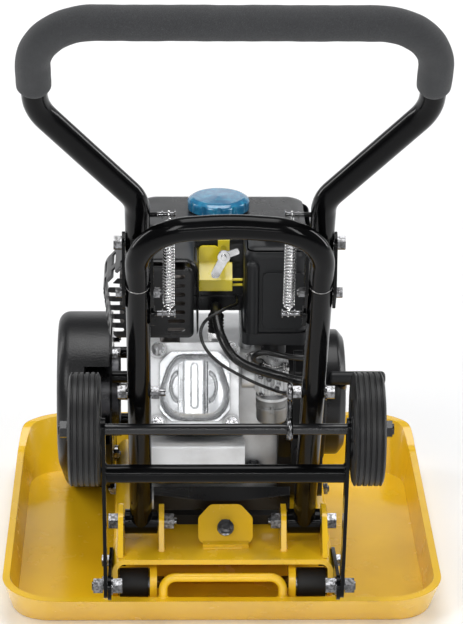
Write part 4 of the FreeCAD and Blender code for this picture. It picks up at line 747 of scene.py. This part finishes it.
def build_carburettor():
    """The carburettor: mixing body, round float bowl with its drain, throat, screws and linkage."""
    bowl_axis, up = Vector((55, -139, 0)), Vector((0, 0, 1))

    def bowl(work):
        lathe(work, bowl_axis, up, [(216, 4.2), (216.4, 5), (220.5, 5), (221, 7.5), (222.4, 9.5), (223, 14),
                                    (224.6, 16.4), (227, 17.2), (239, 17.4), (240, 17.9), (243, 17.9),
                                    (243.4, 17.2), (246.5, 17.2), (247, 18), (252, 18), (252.4, 15)], 56)
        for k in range(3):
            a = math.radians(200 + 70 * k)
            lathe(work, bowl_axis + Vector((16.2 * math.cos(a), 16.2 * math.sin(a), 0)), up,
                  [(238, 1.6), (238.4, 2.4), (247, 2.4)], 14)
    made("carburettor_bowl", mesh_of("carburettor_bowl", bowl), "zinc_casting", "chassis",
         ["carburettor"], 40)

    def body(work):
        block(work, (37, -155, 258), (73.4, -118, 288), 6, 4)
        block(work, (35, -151, 263), (40, -124, 283), 2)
        lathe(work, bowl_axis, up, [(252, 17.6), (252.4, 18), (255.4, 18), (256, 16.4), (259, 14)], 48)
        lathe(work, Vector((56, -136, 0)), up, [(284, 15), (285, 17.4), (290.4, 17.4), (291, 14), (295, 13.2),
                                                (303, 13), (305.5, 12.6)], 48)
        block(work, (38.4, -149.6, 286.4), (73.6, -122.4, 291.6), 2)
        lathe(work, Vector((39, -137, 276)), Vector((-1, 0, 0)), [(0, 15), (2, 15), (2.6, 13), (18, 13)], 40)
        for k in range(4):
            block(work, (43 + k * 7, -157.6, 262), (45.6 + k * 7, -153, 284), 1.0, 2)
        lathe(work, Vector((44, -154.4, 286)), up, [(0, 3.4), (4, 3.4), (4.4, 2.4), (6.2, 2.4)], 20)
        lathe(work, Vector((60, -154, 270)), -Y_WAY, [(0, 5), (3, 5), (3.6, 4.2)], 28)
    made("carburettor_casting", mesh_of("carburettor_casting", body), "cast_aluminium", "chassis",
         ["carburettor"], 40)

    def screws(work):
        for x, z, size in ((42, 284, 2.8), (70, 262, 2.8), (43, 262, 2.2), (69.5, 284, 2.2), (60, 270, 3.0)):
            base = -154.5 if size > 2.5 else -154
            lathe(work, Vector((x, base, z)), -Y_WAY, [(0, size + 1.2), (1, size + 1.2), (1.4, size),
                                                       (4.2, size), (4.8, size * 0.7)], 6)
        for x, z in ((42, 291.6), (70, 291.6)):
            lathe(work, Vector((x, -146, z)), up, [(0, 4.2), (0.8, 4.2), (1, 3.4), (4, 3.4), (4.4, 2.6)], 6)
        for k in range(5):
            lathe(work, Vector((51, -155.5 - k * 1.5, 282)), -Y_WAY, [(0, 2.5), (0.5, 2.9), (1.0, 2.5)], 18)
    made("carburettor_screws", mesh_of("carburettor_screws", screws), "zinc", "chassis", ["carburettor"], 40)

    def links(work):
        runs = [[(30, -152, 300), (38, -158, 303), (48, -160, 300), (58, -158, 296), (70, -152, 296)],
                [(26, -146, 306), (34, -152, 312), (46, -154, 309), (60, -150, 300)],
                [(30, -155, 296), (40, -162, 294), (56, -161, 290), (68, -156, 290)]]
        for run, size in zip(runs, (1.1, 0.8, 0.8)):
            sweep(work, flowing([Vector(p) * MM for p in run], 8), size * MM, 10)
        block(work, (27, -156, 294), (32, -150, 309), 1.6)
        block(work, (66, -157, 291), (71, -151, 300), 1.6)
        lathe(work, Vector((29, -150, 302)), -Y_WAY, [(0, 4.4), (1.2, 4.4), (1.6, 3), (5, 3), (5.4, 2.2)], 24)
    made("carburettor_linkage", mesh_of("carburettor_linkage", links), "shaft_steel", "chassis", (), 40)


def build_welds():
    """Beads where the tubes, ears and tie plate meet, and the swaged rings at the hoop's joints."""
    def ring_line(centre, axis, size, count=40):
        spokes = circle(axis, count)
        return [centre + spoke * size * MM for spoke in spokes + spokes[:1]]

    along = (handle(0, 0, 1) - handle(0, 0, 0)).normalized()

    def seams(work):
        for side in SIDES:
            sweep(work, ring_line(handle(side * 92.2, -30, -28.6), along, 12.55), 0.55 * MM, 8)
    made("hoop_seams", mesh_of("hoop_seams", seams), "shaft_steel", "chassis", (), 40)

    def deck_beads(work):
        for seed, x in enumerate((-118, -112, -72, -66, 66, 72, 112, 118)):
            back, front = (-209, -133) if abs(x) > 100 else (-193, -137)
            line = [Vector((x, back + (front - back) * k / 24, 86.4)) * MM for k in range(25)]
            bead(work, line, 1.5 * MM, seed)
        for y in (-188.4, -147.6):
            line = [Vector((-22 + 44 * k / 18, y, 86.6)) * MM for k in range(19)]
            bead(work, line, 1.6 * MM, 9)
    made("deck_welds", mesh_of("deck_welds", deck_beads), "yellow_paint", "chassis", (), 60)

    def bar_beads(work):
        upright = Vector((0, 0.15, 1)).normalized()
        for side in SIDES:
            foot = Vector((side * 67, -226, 45)) * MM
            bead(work, ring_line(foot, upright, 5.2, 20), 1.3 * MM, side)
    made("lifting_bar_welds", mesh_of("lifting_bar_welds", bar_beads), "yellow_paint", "chassis", (), 60)

    def axle_beads(work):
        for side in SIDES:
            brace = Vector((side * 128.2, -298, 231)) * MM
            bead(work, ring_line(brace, X_WAY, 10.2, 26), 1.2 * MM, side)
    made("swing_frame_welds", mesh_of("swing_frame_welds", axle_beads), "black_paint", "swing_frame", (), 60)


def build_apron():
    """The creased black sheet that closes the gap in front of the engine's foot."""
    half, lip, foot, thick = 78, 130, 105, 1.5
    crease, crease_dip, tie_half = 124.5, 7.5, 20

    def sheet(work):
        rings = []
        for x in (-half, -tie_half, tie_half, half):
            bend = crease - (crease_dip if abs(x) < half else 0)
            front = [(x, -119, lip), (x, -127.5, bend), (x, -127, foot)]
            back = [(x, y + thick, z) for x, y, z in reversed(front)]
            rings.append([work.verts.new(Vector(point) * MM) for point in front + back])
        skin(work, rings)
    made("engine_apron", mesh_of("engine_apron", sheet), "black_sheet", "chassis", (), 30)


def build_tank_decals():
    """Coloured stripes printed on the tank's shoulder."""
    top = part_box("fuel_tank")[1].z / MM

    def bars(finish, name, spans):
        def build(work):
            for x0, x1 in spans:
                block(work, (x0, -62, top - 7.3), (x1, -50, top - 6.6), 0.3, 1)
        made(name, mesh_of(name, build), finish, "chassis", (), 40)
    bars("yellow_zinc", "tank_stripe_yellow", [(54, 61)])
    bars("zinc_casting", "tank_stripes_grey", [(64, 65), (68, 69), (72, 73)])


build_foam_grip()
build_springs()
build_pins()
build_valve_cover()
build_hoses()
build_plug_boot()
build_carburettor()
build_welds()
build_apron()
build_tank_decals()


# --- stage ----------------------------------------------------------------------------------
def studio():
    world = bpy.data.worlds.new("studio")
    world.use_nodes = True
    background = world.node_tree.nodes["Background"]
    background.inputs["Color"].default_value = (0.93, 0.95, 1.0, 1)
    background.inputs["Strength"].default_value = 0.16
    bpy.context.scene.world = world

    floor_mesh = bpy.data.meshes.new("floor")
    wide, near, far, wall = 7.0, -7.0, 6.0, 3.0
    turn, steps = 0.8, 16
    line = [(near, 0.0)]
    for i in range(steps + 1):
        a = math.pi / 2 * i / steps
        line.append((far - turn + turn * math.sin(a), turn - turn * math.cos(a)))
    line.append((far, wall))
    points = [(x, y, z - 0.0005) for y, z in line for x in (-wide, wide)]
    faces = [(2 * i, 2 * i + 1, 2 * i + 3, 2 * i + 2) for i in range(len(line) - 1)]
    floor_mesh.from_pydata(points, [], faces)
    floor_mesh.shade_smooth()
    floor = bpy.data.objects.new("floor", floor_mesh)
    bpy.context.scene.collection.objects.link(floor)
    f = Finish("floor_finish", (0.9, 0.9, 0.9), 0.7)
    f.tint(f.ranged(f.noise(3, 3), 0.4, 0.7, 0.0, 0.5), (0.88, 0.885, 0.89))
    floor_mesh.materials.append(f.done())

    lights = [
        ("key", (-1.5, -2.2, 2.3), (0.7, 1.4), 34),
        ("fill", (1.9, -1.9, 1.7), (0.4, 1.6), 24),
        ("top", (0.0, 0.2, 2.7), (1.5, 1.5), 34),
        ("rim_left", (-2.0, 0.9, 1.2), (0.3, 2.0), 17),
        ("rim_right", (2.0, 0.9, 1.2), (0.3, 2.0), 17),
        ("low", (0.0, -2.6, 0.5), (1.6, 0.3), 5),
        ("strip", (-0.1, -3.1, 1.62), (2.2, 0.04), 20),
        ("backdrop", (0.0, 2.4, 2.9), (5.0, 1.0), 130),
    ]
    for name, place, size, power in lights:
        data = bpy.data.lights.new(name, "AREA")
        data.shape = "RECTANGLE"
        data.size, data.size_y = size
        data.energy = power
        lamp = bpy.data.objects.new(name, data)
        lamp.location = place
        aim = (0, 5.4, 0.4) if name == "backdrop" else (0, -0.1, 0.3)
        lamp.rotation_euler = (Vector(aim) - Vector(place)).to_track_quat("-Z", "Y").to_euler()
        bpy.context.scene.collection.objects.link(lamp)


def photographer():
    """The camera looks down at 21.7 degrees from behind the machine, a little to its left."""
    down, turned, roll = math.radians(21.7), 0.02497, 0.00945
    forward = Vector((math.sin(turned) * math.cos(down), math.cos(turned) * math.cos(down), -math.sin(down)))
    right = Vector((math.cos(turned), -math.sin(turned), 0))
    up = right.cross(forward)
    right, up = right * math.cos(roll) + up * math.sin(roll), up * math.cos(roll) - right * math.sin(roll)
    data = bpy.data.cameras.new("camera")
    data.lens, data.sensor_width = 158.0, 36.0
    data.dof.use_dof = False
    camera = bpy.data.objects.new("camera", data)
    axes = Matrix((right, up, -forward)).transposed().to_4x4()
    camera.matrix_world = Matrix.Translation((-0.0618, -2.9655, 1.4796)) @ axes
    bpy.context.scene.collection.objects.link(camera)
    bpy.context.scene.camera = camera


studio()
photographer()
bpy.context.scene.view_settings.view_transform = "Standard"

bpy.context.view_layer.update()
